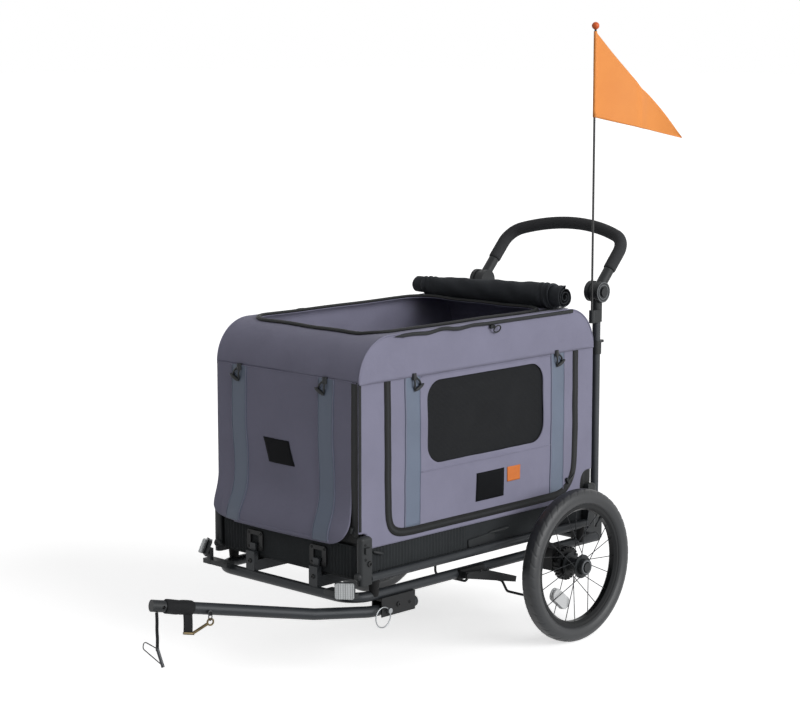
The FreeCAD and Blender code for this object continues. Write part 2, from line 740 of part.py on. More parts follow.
def tray_span():
    return CABIN_REAR_X + CLOTH, CABIN_FRONT_X - CLOTH


def rounded_slab(x, half_width, z, corner):
    slab = box(x, (-half_width, half_width), z)
    upright = [edge for edge in slab.Edges
               if abs(edge.Vertexes[0].Z - edge.Vertexes[1].Z) > RUNNING_GAP]
    return slab.makeFillet(corner, upright)


def base_tray():
    rear_x, front_x = tray_span()
    outside = rounded_slab((rear_x, front_x), TRAY_HALF_WIDTH, (TRAY_BOTTOM_Z, CABIN_BOTTOM_Z),
                           TRAY_CORNER_RADIUS)
    inner_x = (rear_x + TRAY_WALL, front_x - TRAY_WALL)
    inner_half = TRAY_HALF_WIDTH - TRAY_WALL
    inner_corner = TRAY_CORNER_RADIUS - TRAY_WALL
    above = rounded_slab(inner_x, inner_half, (TRAY_FLOOR_Z + TRAY_FLOOR, CABIN_BOTTOM_Z + OVERRUN),
                         inner_corner)
    below = rounded_slab(inner_x, inner_half, (TRAY_BOTTOM_Z - OVERRUN, TRAY_FLOOR_Z), inner_corner)
    cuts = [above, below]
    post_rear, post_front = post_span(False)[1], post_span(True)[0]
    for share in CROSS_TUBE_SHARES:
        x = post_rear + share * (post_front - post_rear)
        half = CROSS_TUBE_RADIUS + GAP
        cuts.append(rod(half, V(x, -POST_OUTER_Y, CARRIER_RAIL_Z), V(x, POST_OUTER_Y, CARRIER_RAIL_Z)))
        cuts.append(box((x - half, x + half), (-POST_OUTER_Y, POST_OUTER_Y),
                        (TRAY_BOTTOM_Z - OVERRUN, CARRIER_RAIL_Z)))
    x = hoop_x()
    cuts.append(rod(PIVOT_PIN_RADIUS + SPREAD, V(x, -POST_OUTER_Y, HOOP_PIVOT_Z),
                    V(x, POST_OUTER_Y, HOOP_PIVOT_Z)))
    save("base_tray", outside.cut(cuts))


def flat_rounded_wire(x, half_width, corner, z):
    """A rounded rectangle in the XY plane at a height, as a wire."""
    slab = rounded_slab(x, half_width, (z, z + OVERRUN), corner)
    bottom = min(slab.Faces, key=lambda face: face.CenterOfMass.z)
    return bottom.OuterWire


def floor_mat():
    rear_x, front_x = tray_span()
    reach = TRAY_WALL + MAT_END_GAP
    base_z = TRAY_FLOOR_Z + TRAY_FLOOR + GAP
    sections = []
    for level_share, inset_share in MAT_LEVEL_SHARES:
        inset = inset_share * MAT_THICKNESS
        sections.append(flat_rounded_wire((rear_x + reach + inset, front_x - reach - inset),
                                          MAT_HALF_WIDTH - inset, MAT_CORNER_RADIUS,
                                          base_z + level_share * MAT_THICKNESS))
    save("floor_mat", Part.makeLoft(sections, True, True))


# Cabin of cloth panels

def side_outline(inset, y):
    """The cabin's side: square at the base and rounded at the two top corners."""
    corner = CABIN_CORNER_RADIUS - inset
    half = corner * math.sin(math.pi / 4)
    x0, x1 = CABIN_REAR_X + inset, CABIN_FRONT_X - inset
    top = CABIN_TOP_Z - inset
    centre_z = CABIN_TOP_Z - CABIN_CORNER_RADIUS
    rear_c, front_c = CABIN_REAR_X + CABIN_CORNER_RADIUS, CABIN_FRONT_X - CABIN_CORNER_RADIUS
    base = CABIN_BOTTOM_Z
    edges = [Part.LineSegment(V(x0, y, base), V(x1, y, base)).toShape(),
             Part.LineSegment(V(x1, y, base), V(x1, y, centre_z)).toShape(),
             Part.Arc(V(x1, y, centre_z), V(front_c + half, y, centre_z + half),
                      V(front_c, y, top)).toShape(),
             Part.LineSegment(V(front_c, y, top), V(rear_c, y, top)).toShape(),
             Part.Arc(V(rear_c, y, top), V(rear_c - half, y, centre_z + half), V(x0, y, centre_z)).toShape(),
             Part.LineSegment(V(x0, y, centre_z), V(x0, y, base)).toShape()]
    return Part.Wire(edges)


def window_wire(inset, y):
    return rounded_outline((WINDOW_REAR_X + inset, WINDOW_FRONT_X - inset),
                           (WINDOW_BOTTOM_Z + inset, WINDOW_TOP_Z - inset),
                           WINDOW_CORNER_RADIUS - inset, y)


def post_arches():
    """Room for the corner posts where they stand in the lower corners of the cloth."""
    return [mirrored(post_block(front, POST_ARCH_GAP), side) for front in (True, False) for side in SIDES]


def roof_shell(inset):
    """The roof's outer form, or its hollow when set in by the cloth's thickness."""
    half = CABIN_HALF_WIDTH - inset
    seam = CABIN_TOP_Z - CABIN_CORNER_RADIUS
    form = Part.Face(side_outline(inset, -half)).extrude(V(0, 2 * half, 0))
    room = box((CABIN_REAR_X, CABIN_FRONT_X), (-CABIN_HALF_WIDTH, CABIN_HALF_WIDTH), (seam, CABIN_TOP_Z))
    return form.common(room)


def cabin():
    arches = post_arches()
    seam = CABIN_TOP_Z - CABIN_CORNER_RADIUS - GAP
    inner_y = CABIN_HALF_WIDTH - CLOTH
    panel = box((CABIN_REAR_X, CABIN_FRONT_X), (inner_y, CABIN_HALF_WIDTH), (CABIN_BOTTOM_Z, seam))
    opening = Part.Face(window_wire(0, inner_y - OVERRUN)).extrude(V(0, CLOTH + 2 * OVERRUN, 0))
    panel = panel.cut(opening)
    mesh_y = inner_y + (CLOTH - WINDOW_MESH) / 2
    mesh = Part.Face(window_wire(GAP, mesh_y)).extrude(V(0, WINDOW_MESH, 0))
    for name, side in (("left", LEFT), ("right", RIGHT)):
        save(name + "_side_panel", mirrored(panel, side).cut(arches))
    save("window_meshes", *[mirrored(mesh, side) for side in SIDES])
    across = (GAP - inner_y, inner_y - GAP)
    front = box((CABIN_FRONT_X - CLOTH, CABIN_FRONT_X), across, (CABIN_BOTTOM_Z, seam))
    rear = box((CABIN_REAR_X, CABIN_REAR_X + CLOTH), across, (CABIN_BOTTOM_Z, seam))
    save("front_panel", front.cut(arches))
    save("rear_panel", rear.cut(arches))
    hatch = rounded_slab((ROOF_REAR_EDGE_X, ROOF_FRONT_EDGE_X), ROOF_HALF_OPENING,
                         (CABIN_TOP_Z - CABIN_CORNER_RADIUS, CABIN_TOP_Z + OVERRUN), ROOF_CORNER_RADIUS)
    save("roof_cap", roof_shell(0).cut([roof_shell(CLOTH), hatch]))


def roof_mesh_roll():
    centre = V(ROLL_X, 0, CABIN_TOP_Z + ROLL_RADIUS + GAP)
    points = [(0.0, -ROLL_HALF_LENGTH)]
    points += [(ROLL_RADIUS * swell, along * ROLL_HALF_LENGTH) for along, swell in ROLL_SWELL_SHARES]
    points.append((0.0, ROLL_HALF_LENGTH))
    roll = turned(points)
    roll.translate(centre)
    save("roof_mesh_roll", roll)


def front_hoop():
    x = hoop_x()
    points = [V(x, HOOP_LEG_Y, HOOP_PIVOT_Z), V(HOOP_CROSSBAR_X, HOOP_LEG_Y, HOOP_TOP_Z),
              V(HOOP_CROSSBAR_X, -HOOP_LEG_Y, HOOP_TOP_Z), V(x, -HOOP_LEG_Y, HOOP_PIVOT_Z)]
    hoop = bent_tube(bent_path(points, [HOOP_CORNER_RADIUS, HOOP_CORNER_RADIUS]), HOOP_RADIUS, HOOP_WALL)
    bores = []
    for side in SIDES:
        low = V(x, side * HOOP_LEG_Y - HOOP_RADIUS, HOOP_PIVOT_Z)
        high = V(x, side * HOOP_LEG_Y + HOOP_RADIUS, HOOP_PIVOT_Z)
        hoop = hoop.fuse(rod(HOOP_EYE_RADIUS, low, high))
        bores.append(rod(PIVOT_PIN_RADIUS + RUNNING_GAP, low - Y_AXIS * OVERRUN, high + Y_AXIS * OVERRUN))
    save("front_hoop", hoop.cut(bores))


# Front latches and reflectors

def front_latches():
    face_x = tray_span()[1]
    half_w, half_h = CLIP_WIDTH / 2, CLIP_HEIGHT / 2
    frame = box((face_x, face_x + CLIP_THICKNESS), (-half_w, half_w), (CLIP_Z - half_h, CLIP_Z + half_h))
    along_x = [edge for edge in frame.Edges if abs(edge.Vertexes[0].X - edge.Vertexes[1].X) > RUNNING_GAP]
    frame = frame.makeFillet(CLIP_ROUND, along_x)
    half_ww, half_wh = CLIP_WINDOW_WIDTH / 2, CLIP_WINDOW_HEIGHT / 2
    frame = frame.cut(box((face_x - OVERRUN, face_x + CLIP_THICKNESS + OVERRUN), (-half_ww, half_ww),
                          (CLIP_Z - half_wh, CLIP_Z + half_wh)))
    clips = []
    for side in SIDES:
        clip = frame.copy()
        clip.translate(V(0, side * CLIP_Y, 0))
        clips.append(clip)
    save("front_clips", *clips)

    back_x = face_x + CLIP_THICKNESS + DOCK_GAP_X
    front_x = back_x + DOCK_UPSTAND
    tongue_z = CLIP_Z - half_wh + GAP
    tongue_top = tongue_z + TONGUE_HEIGHT
    top_z = CLIP_Z - half_h
    low_z = CHASSIS_Z + CHASSIS_TUBE_RADIUS - DOCK_SADDLE
    half = DOCK_WIDTH / 2
    tongue_half = TONGUE_WIDTH / 2
    bow = swept(bow_path(), CHASSIS_TUBE_RADIUS)
    brackets = []
    for side in SIDES:
        middle = side * CLIP_Y
        across = (middle - half, middle + half)
        beam = box((front_x - DOCK_LENGTH, front_x), across, (low_z, DOCK_TOP_Z))
        upstand = box((back_x, front_x), across, (low_z, top_z))
        tongue_across = (middle - tongue_half, middle + tongue_half)
        riser = box((back_x, back_x + TONGUE_THICKNESS), tongue_across, (low_z, tongue_top))
        tongue = box((back_x - TONGUE_LENGTH, back_x), tongue_across, (tongue_z, tongue_top))
        brackets.append(beam.fuse([upstand, riser, tongue]).cut(bow))
    save("docking_brackets", *brackets)


def reflectors():
    bow = swept(bow_path(), CHASSIS_TUBE_RADIUS)
    half_w, half_h = LENS_WIDTH / 2, LENS_HEIGHT / 2
    lens = box((LENS_X, LENS_X + LENS_THICKNESS), (LENS_Y - half_w, LENS_Y + half_w),
               (LENS_Z - half_h, LENS_Z + half_h))
    along_x = [edge for edge in lens.Edges if abs(edge.Vertexes[0].X - edge.Vertexes[1].X) > RUNNING_GAP]
    lens = lens.makeFillet(LENS_ROUND, along_x)
    shell = box((LENS_X - HOUSING_DEPTH, LENS_X),
                (LENS_Y - half_w - HOUSING_LIP, LENS_Y + half_w + HOUSING_LIP),
                (LENS_Z - half_h - HOUSING_LIP, LENS_Z + half_h + HOUSING_LIP))
    arm_z = LENS_Z - half_h - HOUSING_LIP
    arm = box((FRONT_BOW_X, LENS_X - HOUSING_DEPTH), (HOUSING_ARM_Y, LENS_Y + half_w),
              (arm_z, arm_z + HOUSING_ARM_HEIGHT))
    lenses, housings = [], []
    for side in SIDES:
        shapes = [mirrored(piece, side) for piece in (lens, shell)]
        pivot = V(LENS_X - HOUSING_DEPTH, side * LENS_Y, LENS_Z)
        for shape in shapes:
            if side == RIGHT:
                shape.rotate(pivot, Y_AXIS, -RIGHT_LENS_PITCH_DEG)
                shape.rotate(pivot, Z_AXIS, -RIGHT_LENS_TURN_DEG)
                shape.translate(Z_AXIS * RIGHT_LENS_RAISE)
            else:
                shape.rotate(pivot, Z_AXIS, LEFT_LENS_TURN_DEG)
        shapes = [shape.copy() for shape in shapes]
        lenses.append(shapes[0])
        mount = [mirrored(arm, side)]
        if side == RIGHT:
            back = LENS_X - HOUSING_DEPTH
            mount.append(box((back - HOUSING_STEM, back + HOUSING_STEM),
                             (-LENS_Y - HOUSING_STEM, -LENS_Y + HOUSING_STEM),
                             (arm_z, LENS_Z + RIGHT_LENS_RAISE)))
        mounted = shapes[1].fuse(mount).cut([bow, shapes[0]])
        housings.append(max(mounted.Solids, key=lambda solid: solid.Volume))
    save("reflector_lenses", *lenses)
    save("reflector_housings", *housings)


# Drawbar and what hangs on it

BAR_DIRECTION = HEAD_DIRECTION
BAR_ACROSS = BAR_DIRECTION.cross(Z_AXIS).normalize() * -1
BAR_END = DRAWBAR_TIP - BAR_DIRECTION * HEAD_LENGTH


def drawbar_path():
    points = [V(DRAWBAR_REAR_X, RAIL_Y, DRAWBAR_Z), V(DRAWBAR_BEND_1_X, RAIL_Y, DRAWBAR_Z),
              DRAWBAR_BEND_2, BAR_END]
    return bent_path(points, [DRAWBAR_BEND_RADIUS, DRAWBAR_BEND_RADIUS])


def lock_pin_hole():
    y0 = RAIL_Y - DRAWBAR_RADIUS - BRACKET_WALL - OVERRUN
    y1 = RAIL_Y + DRAWBAR_RADIUS + BRACKET_WALL + OVERRUN
    return rod(LOCK_PIN_RADIUS + RUNNING_GAP, V(LOCK_PIN_X, y0, DRAWBAR_Z), V(LOCK_PIN_X, y1, DRAWBAR_Z))


def drawbar():
    inner = DRAWBAR_RADIUS + SPREAD
    outer = inner + BRACKET_WALL
    top = CHASSIS_Z - CHASSIS_TUBE_RADIUS + BRACKET_TOP_RISE
    span = (BRACKET_REAR_X, BRACKET_REAR_X + BRACKET_LENGTH)
    channel = box(span, (RAIL_Y - outer, RAIL_Y + outer), (BRACKET_BOTTOM_Z, top))
    hollow = box((span[0] - OVERRUN, span[1] + OVERRUN), (RAIL_Y - inner, RAIL_Y + inner),
                 (BRACKET_BOTTOM_Z - OVERRUN, top - BRACKET_TOP_RISE - BRACKET_WALL))
    save("drawbar_bracket", channel.cut([hollow, rail_core(LEFT), lock_pin_hole()]))
    save("drawbar_tube", bent_tube(drawbar_path(), DRAWBAR_RADIUS, TUBE_WALL).cut(lock_pin_hole()))
    head = rod(DRAWBAR_RADIUS, BAR_END, DRAWBAR_TIP)
    spigot = rod(DRAWBAR_RADIUS - TUBE_WALL, BAR_END - BAR_DIRECTION * HEAD_SPIGOT_LENGTH, BAR_END)
    bore_at = DRAWBAR_TIP - BAR_DIRECTION * HITCH_BORE_SETBACK
    reach = BAR_ACROSS * (DRAWBAR_RADIUS + OVERRUN)
    save("hitch_head", head.fuse(spigot).cut(rod(HITCH_BORE_RADIUS, bore_at - reach, bore_at + reach)))


def lock_pin():
    inner = RAIL_Y - DRAWBAR_RADIUS - SPREAD - BRACKET_WALL - LOCK_PIN_TAIL
    face = RAIL_Y + DRAWBAR_RADIUS + SPREAD + BRACKET_WALL
    pin = rod(LOCK_PIN_RADIUS, V(LOCK_PIN_X, inner, DRAWBAR_Z), V(LOCK_PIN_X, face + GAP, DRAWBAR_Z))
    head = rod(LOCK_HEAD_RADIUS, V(LOCK_PIN_X, face + GAP, DRAWBAR_Z),
               V(LOCK_PIN_X, face + GAP + LOCK_HEAD_LENGTH, DRAWBAR_Z))
    drop = math.radians(LOCK_RING_DROP_DEG)
    centre = V(LOCK_PIN_X + LOCK_RING_RADIUS * math.cos(drop), face + GAP + LOCK_HEAD_LENGTH / 2,
               DRAWBAR_Z + LOCK_RING_RADIUS * math.sin(drop))
    ring = Part.makeTorus(LOCK_RING_RADIUS, LOCK_WIRE_RADIUS, centre, Y_AXIS)
    tunnel = Part.makeTorus(LOCK_RING_RADIUS, LOCK_WIRE_RADIUS + GAP, centre, Y_AXIS)
    save("lock_pin", pin.fuse(head).cut(tunnel), ring)


def safety_strap():
    start = BAR_END + BAR_DIRECTION * STRAP_WRAP_LEAD
    end = start - BAR_DIRECTION * STRAP_WRAP_LENGTH
    outer = DRAWBAR_RADIUS + STRAP_THICKNESS
    wrap = rod(outer, start, end).cut(rod(DRAWBAR_RADIUS, start + BAR_DIRECTION, end - BAR_DIRECTION))
    hang = BAR_END - BAR_DIRECTION * STRAP_TAIL_SETBACK
    half = STRAP_THICKNESS / 2
    along = BAR_DIRECTION * (STRAP_TAIL_WIDTH / 2)
    top = hang - Z_AXIS * (outer - half) + BAR_ACROSS * (outer / 2)
    tail = prism([top - along - BAR_ACROSS * half, top + along - BAR_ACROSS * half,
                  top + along + BAR_ACROSS * half, top - along + BAR_ACROSS * half],
                 V(0, 0, -STRAP_TAIL_LENGTH))
    tail = tail.cut(rod(outer, start + BAR_DIRECTION, end - BAR_DIRECTION))
    save("safety_strap", wrap, max(tail.Solids, key=lambda solid: solid.Volume))
    return top - Z_AXIS * STRAP_TAIL_LENGTH


def ring_and_hook(strap_end):
    """The eye bolt on the bar's outer side, and the ring that hangs in it."""
    inside = BAR_END - BAR_DIRECTION * EYE_SETBACK
    eye_at = inside + BAR_ACROSS * (DRAWBAR_RADIUS + EYE_STANDOFF + EYE_WIRE_RADIUS) - Z_AXIS * EYE_DROP
    eye_top = eye_at + Z_AXIS * EYE_RADIUS
    shank = rod(EYE_SHANK_RADIUS, eye_top, eye_top - BAR_ACROSS * (EYE_STANDOFF + EYE_DROP))
    bar = swept(drawbar_path(), DRAWBAR_RADIUS)
    eye = Part.makeTorus(EYE_RADIUS, EYE_WIRE_RADIUS, eye_at, BAR_ACROSS).fuse(shank).cut(bar)
    eye = max(eye.Solids, key=lambda solid: solid.Volume)
    ring_at = eye_at - Z_AXIS * (EYE_RADIUS - EYE_WIRE_RADIUS - RING_WIRE_RADIUS - GAP + RING_RADIUS)
    ring = Part.makeTorus(RING_RADIUS, RING_WIRE_RADIUS, ring_at, BAR_DIRECTION)
    save("drawbar_ring", eye, ring)
    return strap_end, ring_at


def snap_hook(strap_end, ring_at):
    """A wire loop hanging in the ring, the hook's body, and its bar under the strap end."""
    inside = ring_at - Z_AXIS * (RING_RADIUS - RING_WIRE_RADIUS - HOOK_WIRE_RADIUS - GAP)
    centre = inside - Z_AXIS * HOOK_LOOP_RADIUS
    loop = Part.makeTorus(HOOK_LOOP_RADIUS, HOOK_WIRE_RADIUS, centre, BAR_ACROSS)
    half = BAR_DIRECTION * (STRAP_TAIL_WIDTH / 2)
    middle = strap_end - Z_AXIS * (HOOK_BODY_RADIUS + HOOK_STRAP_GAP)
    to_strap = (middle - half - centre).normalize()
    body = rod(HOOK_BODY_RADIUS, centre + to_strap * HOOK_LOOP_RADIUS, middle - half)
    crossbar = rod(HOOK_BODY_RADIUS, middle - half - BAR_DIRECTION * HOOK_BODY_RADIUS, middle + half)
    save("snap_hook", loop.fuse([body, crossbar]))


def lanyard_and_pin():
    points = [V(*point) for point in LANYARD_ROUTE]
    radii = []
    for before, corner, after in zip(points, points[1:], points[2:]):
        turn = (corner - before).getAngle(after - corner)
        shorter = min((corner - before).Length, (after - corner).Length)
        radii.append(LANYARD_RADIUS_SHARE * shorter / math.tan(turn / 2))
    print("lanyard radii", [round(radius) for radius in radii])
    path = bent_path(points, radii)
    cord = swept(path, LANYARD_DIAMETER / 2)
    print("lanyard length", round(path.Length, 1), "volume ratio",
          round(cord.Volume / (path.Length * math.pi * (LANYARD_DIAMETER / 2) ** 2), 4))
    head = rod(DRAWBAR_RADIUS, BAR_END, DRAWBAR_TIP)
    cord = cord.cut(head)
    save("lanyard", max(cord.Solids, key=lambda solid: solid.Volume))
    lean = math.radians(PIN_LEAN_DEG)
    bail_turn = math.radians(BAIL_TURN_DEG)
    out = V(math.cos(bail_turn), -math.sin(bail_turn), 0)
    down = out * -math.sin(lean) - Z_AXIS * math.cos(lean)
    top = points[-1] - Z_AXIS * GAP
    pin = rod(PIN_RADIUS, top - Z_AXIS * PIN_RADIUS, top - Z_AXIS * PIN_RADIUS + down * PIN_LENGTH)
    cap = rod(PIN_RADIUS, top, top - Z_AXIS * (2 * PIN_RADIUS))
    start = top - Z_AXIS * PIN_RADIUS
    corners = [start, start + out * BAIL_TOP_REACH + Z_AXIS * BAIL_TOP_RISE,
               start + out * BAIL_BEND_REACH - Z_AXIS * BAIL_BEND_DROP,
               start + down * (PIN_LENGTH - PIN_RADIUS)]
    bail = swept(bent_path(corners, [BAIL_CORNER_RADIUS, BAIL_CORNER_RADIUS]), BAIL_WIRE_RADIUS)
    save("hitch_pin", pin.fuse([cap, bail]))


# Parking leg and brake bar

def parking_leg():
    inner = RAIL_Y + CHASSIS_TUBE_RADIUS + LEG_BRACKET_WALL + GAP
    rest = math.radians(LEG_REST_DEG)
    half_root, half_foot = LEG_ROOT_HEIGHT / 2, LEG_FOOT_HEIGHT / 2
    outline = [V(LEG_ROOT_OVERHANG, inner, half_root), V(LEG_ROOT_OVERHANG, inner, -half_root),
               V(-LEG_LENGTH, inner, -half_foot), V(-LEG_LENGTH, inner, half_foot),
               V(-LEG_CREST_REACH, inner, LEG_CREST_HEIGHT)]
    leg = prism(outline, V(0, LEG_THICKNESS, 0))
    leg.rotate(V(), Y_AXIS, -math.degrees(rest))
    leg.translate(V(LEG_PIVOT_X, 0, LEG_PIVOT_Z))
    pivot = V(LEG_PIVOT_X, RAIL_Y, LEG_PIVOT_Z)
    out = Y_AXIS * (inner + LEG_THICKNESS - RAIL_Y + GAP)
    leg = leg.copy().cut(rod(LEG_PIN_RADIUS + RUNNING_GAP, pivot, pivot + out + Y_AXIS * OVERRUN))
    front = LEG_PIVOT_X + LEG_BRACKET_LEAD
    middle_z = (CHASSIS_Z + LEG_PIVOT_Z) / 2
    block = box((front - LEG_BRACKET_LENGTH, front), (RAIL_Y, inner - GAP),
                (middle_z - LEG_BRACKET_HEIGHT / 2, middle_z + LEG_BRACKET_HEIGHT / 2))
    pin = rod(LEG_PIN_RADIUS, pivot, pivot + out).fuse(
        rod(2 * LEG_PIN_RADIUS, pivot + out, pivot + out + Y_AXIS * LEG_PIN_HEAD))
    bracket = block.fuse(pin).cut(rail_core(LEFT))
    bracket = max(bracket.Solids, key=lambda solid: solid.Volume)
    save("parking_leg", leg)
    save("leg_bracket", bracket)


def brake_bar_path():
    low, high = BRAKE_BAR_Z, BRAKE_BAR_Z + BRAKE_HUMP_RISE
    half = [V(BRAKE_BAR_X, BRAKE_JOURNAL_Y, BRAKE_PIVOT_Z), V(BRAKE_BAR_X, BRAKE_RISER_Y, BRAKE_PIVOT_Z),
            V(BRAKE_BAR_X, BRAKE_RISER_Y, low), V(BRAKE_BAR_X, BRAKE_HUMP_FOOT, low),
            V(BRAKE_BAR_X, BRAKE_HUMP_HALF, high)]
    other = [V(point.x, -point.y, point.z) for point in reversed(half)]
    points = half + other
    return bent_path(points, [BRAKE_BEND_RADIUS] * (len(points) - 2))


def brake_clamp():
    half = BRAKE_CLAMP_LENGTH / 2
    block = box((BRAKE_BAR_X - half, BRAKE_BAR_X + half),
                (BRAKE_JOURNAL_Y - BRAKE_CLAMP_WIDTH, BRAKE_JOURNAL_Y + GAP),
                (BRAKE_PIVOT_Z - BRAKE_CLAMP_DROP, CHASSIS_Z))
    bore = rod(BRAKE_BAR_RADIUS + RUNNING_GAP, V(BRAKE_BAR_X, BRAKE_RISER_Y, BRAKE_PIVOT_Z),
               V(BRAKE_BAR_X, BRAKE_JOURNAL_Y + OVERRUN, BRAKE_PIVOT_Z))
    seated = block.cut([rail_core(LEFT), bore])
    return max(seated.Solids, key=lambda solid: solid.Volume)


def brake_bar():
    save("brake_bar", swept(brake_bar_path(), BRAKE_BAR_RADIUS))
    save("brake_clamps", *[mirrored(brake_clamp(), side) for side in SIDES])


# Uprights, handle and flag

SLEEVE_TOP_Z = SLEEVE_BOTTOM_Z + SLEEVE_SOCKET


def uprights():
    tubes, feet, fittings = [], [], []
    half = FOOT_WIDTH / 2
    cross = rod(CHASSIS_TUBE_RADIUS, V(REAR_TUBE_X, -RAIL_Y, CHASSIS_Z), V(REAR_TUBE_X, RAIL_Y, CHASSIS_Z))
    for side in SIDES:
        y = side * UPRIGHT_Y
        low, high = V(UPRIGHT_X, y, UPRIGHT_BOTTOM_Z), V(UPRIGHT_X, y, SLEEVE_TOP_Z)
        tubes.append(pipe(UPRIGHT_RADIUS, TUBE_WALL, low, high))
        core = rod(UPRIGHT_RADIUS, low, high)
        reach = UPRIGHT_RADIUS + FOOT_REAR_WALL
        tower = box((UPRIGHT_X - reach, UPRIGHT_X + reach), (y - half, y + half),
                    (FOOT_BOTTOM_Z, FOOT_TOP_Z))
        toe = box((UPRIGHT_X, REAR_TUBE_X + CHASSIS_TUBE_RADIUS + FOOT_FRONT_WALL), (y - half, y + half),
                  (FOOT_BOTTOM_Z, FOOT_STEP_Z))
        foot = tower.fuse(toe)
        feet.append(foot.cut([core, cross, rail_core(side)]))
        neck_z = JOINT_Z - JOINT_RADIUS - SPREAD
        core_half = JOINT_CORE_WIDTH / 2
        sleeve = rod(SLEEVE_RADIUS, V(UPRIGHT_X, y, SLEEVE_BOTTOM_Z), V(UPRIGHT_X, y, neck_z))
        neck = rod(SLEEVE_RADIUS, V(UPRIGHT_X, y, SLEEVE_BOTTOM_Z), V(UPRIGHT_X, y, JOINT_Z)).common(
            box((UPRIGHT_X - SLEEVE_RADIUS, UPRIGHT_X + SLEEVE_RADIUS), (y - core_half, y + core_half),
                (SLEEVE_BOTTOM_Z, JOINT_Z)))
        disc = rod(JOINT_CORE_RADIUS, V(UPRIGHT_X, y - JOINT_CORE_WIDTH / 2, JOINT_Z),
                   V(UPRIGHT_X, y + JOINT_CORE_WIDTH / 2, JOINT_Z))
        sleeve = sleeve.fuse([neck, disc])
        if side == LEFT:
            reach = POLE_RADIUS + POLE_SOCKET_WALL
            web = reach * POLE_WEB_SHARE
            lug_top = SLEEVE_BOTTOM_Z + POLE_SOCKET_HEIGHT
            lug = box((UPRIGHT_X, POLE_X), (POLE_Y - web, POLE_Y + web), (SLEEVE_BOTTOM_Z, lug_top))
            lug = lug.fuse(rod(reach, V(POLE_X, POLE_Y, SLEEVE_BOTTOM_Z), V(POLE_X, POLE_Y, lug_top)))
            hole = rod(POLE_RADIUS, V(POLE_X, POLE_Y, SLEEVE_BOTTOM_Z + POLE_SEAT),
                       V(POLE_X, POLE_Y, JOINT_Z))
            sleeve = sleeve.fuse(lug).cut(hole)
        fittings.append(sleeve.cut(core))
        collar = pipe(COLLAR_RADIUS, COLLAR_RADIUS - UPRIGHT_RADIUS, V(UPRIGHT_X, y, COLLAR_BOTTOM_Z),
                      V(UPRIGHT_X, y, COLLAR_BOTTOM_Z + COLLAR_HEIGHT))
        top = COLLAR_BOTTOM_Z + COLLAR_HEIGHT
        tip = UPRIGHT_X - COLLAR_RADIUS - COLLAR_HOOK_LENGTH
        hook = box((tip, UPRIGHT_X), (y - COLLAR_HOOK_WIDTH / 2, y + COLLAR_HOOK_WIDTH / 2),
                   (top - COLLAR_HOOK_HEIGHT, top))
        fittings.append(collar.fuse(hook).cut(core))
    save("uprights", *tubes)
    save("upright_feet", *feet)
    save("upright_sleeves", *fittings)


ARM = V(-math.cos(math.radians(HANDLE_ELEVATION_DEG)), 0, math.sin(math.radians(HANDLE_ELEVATION_DEG)))
JOINT_CENTRE = V(UPRIGHT_X, 0, JOINT_Z)


def handle_path(start):
    """The U of the handle in its tilted plane: arms, round corners and a bowed crossbar."""
    turn = math.radians(HANDLE_CORNER_DEG)
    corner = HANDLE_CORNER_SHARE * (HANDLE_REACH - GRIP_START)
    corner_y = UPRIGHT_Y - corner * (1 - math.cos(turn))
    bow = corner_y / math.cos(turn)
    rise = bow * (1 - math.sin(turn))
    corner_end = HANDLE_REACH - rise
    arm_end = corner_end - corner * math.sin(turn)
    middle_y = UPRIGHT_Y - corner * (1 - math.cos(turn / 2))
    middle_v = arm_end + corner * math.sin(turn / 2)

    def at(y, v):
        return JOINT_CENTRE + Y_AXIS * y + ARM * v

    edges = [Part.LineSegment(at(UPRIGHT_Y, start), at(UPRIGHT_Y, arm_end)).toShape(),
             Part.Arc(at(UPRIGHT_Y, arm_end), at(middle_y, middle_v), at(corner_y, corner_end)).toShape(),
             Part.Arc(at(corner_y, corner_end), at(0, HANDLE_REACH), at(-corner_y, corner_end)).toShape(),
             Part.Arc(at(-corner_y, corner_end), at(-middle_y, middle_v), at(-UPRIGHT_Y, arm_end)).toShape(),
             Part.LineSegment(at(-UPRIGHT_Y, arm_end), at(-UPRIGHT_Y, start)).toShape()]
    return Part.Wire(edges)


def joint_knuckle():
    """The left joint's two cheeks, joined by the cuff that holds the handle tube."""
    inner = JOINT_CORE_WIDTH / 2 + SPREAD
    outer = inner + CHEEK_WIDTH
    knuckle = None
    for low, high in ((-outer, -inner), (inner, outer)):
        centre = JOINT_CENTRE + Y_AXIS * (UPRIGHT_Y + low)
        cheek = rod(JOINT_RADIUS, centre, centre + Y_AXIS * (high - low))
        knuckle = cheek if knuckle is None else knuckle.fuse(cheek)
    base = JOINT_CENTRE + Y_AXIS * UPRIGHT_Y
    cuff = rod(CUFF_RADIUS, base, base + ARM * (GRIP_START - CUFF_TO_GRIP))
    tube = rod(HANDLE_RADIUS, base + ARM * CUFF_SEAT, base + ARM * HANDLE_REACH)
    core_room = rod(JOINT_CORE_RADIUS + SPREAD, base - Y_AXIS * inner, base + Y_AXIS * inner)
    pocket = rod(JOINT_BUTTON_RADIUS + GAP, base + Y_AXIS * inner, base + Y_AXIS * (outer + OVERRUN))
    return knuckle.fuse(cuff).cut([tube, core_room, pocket])


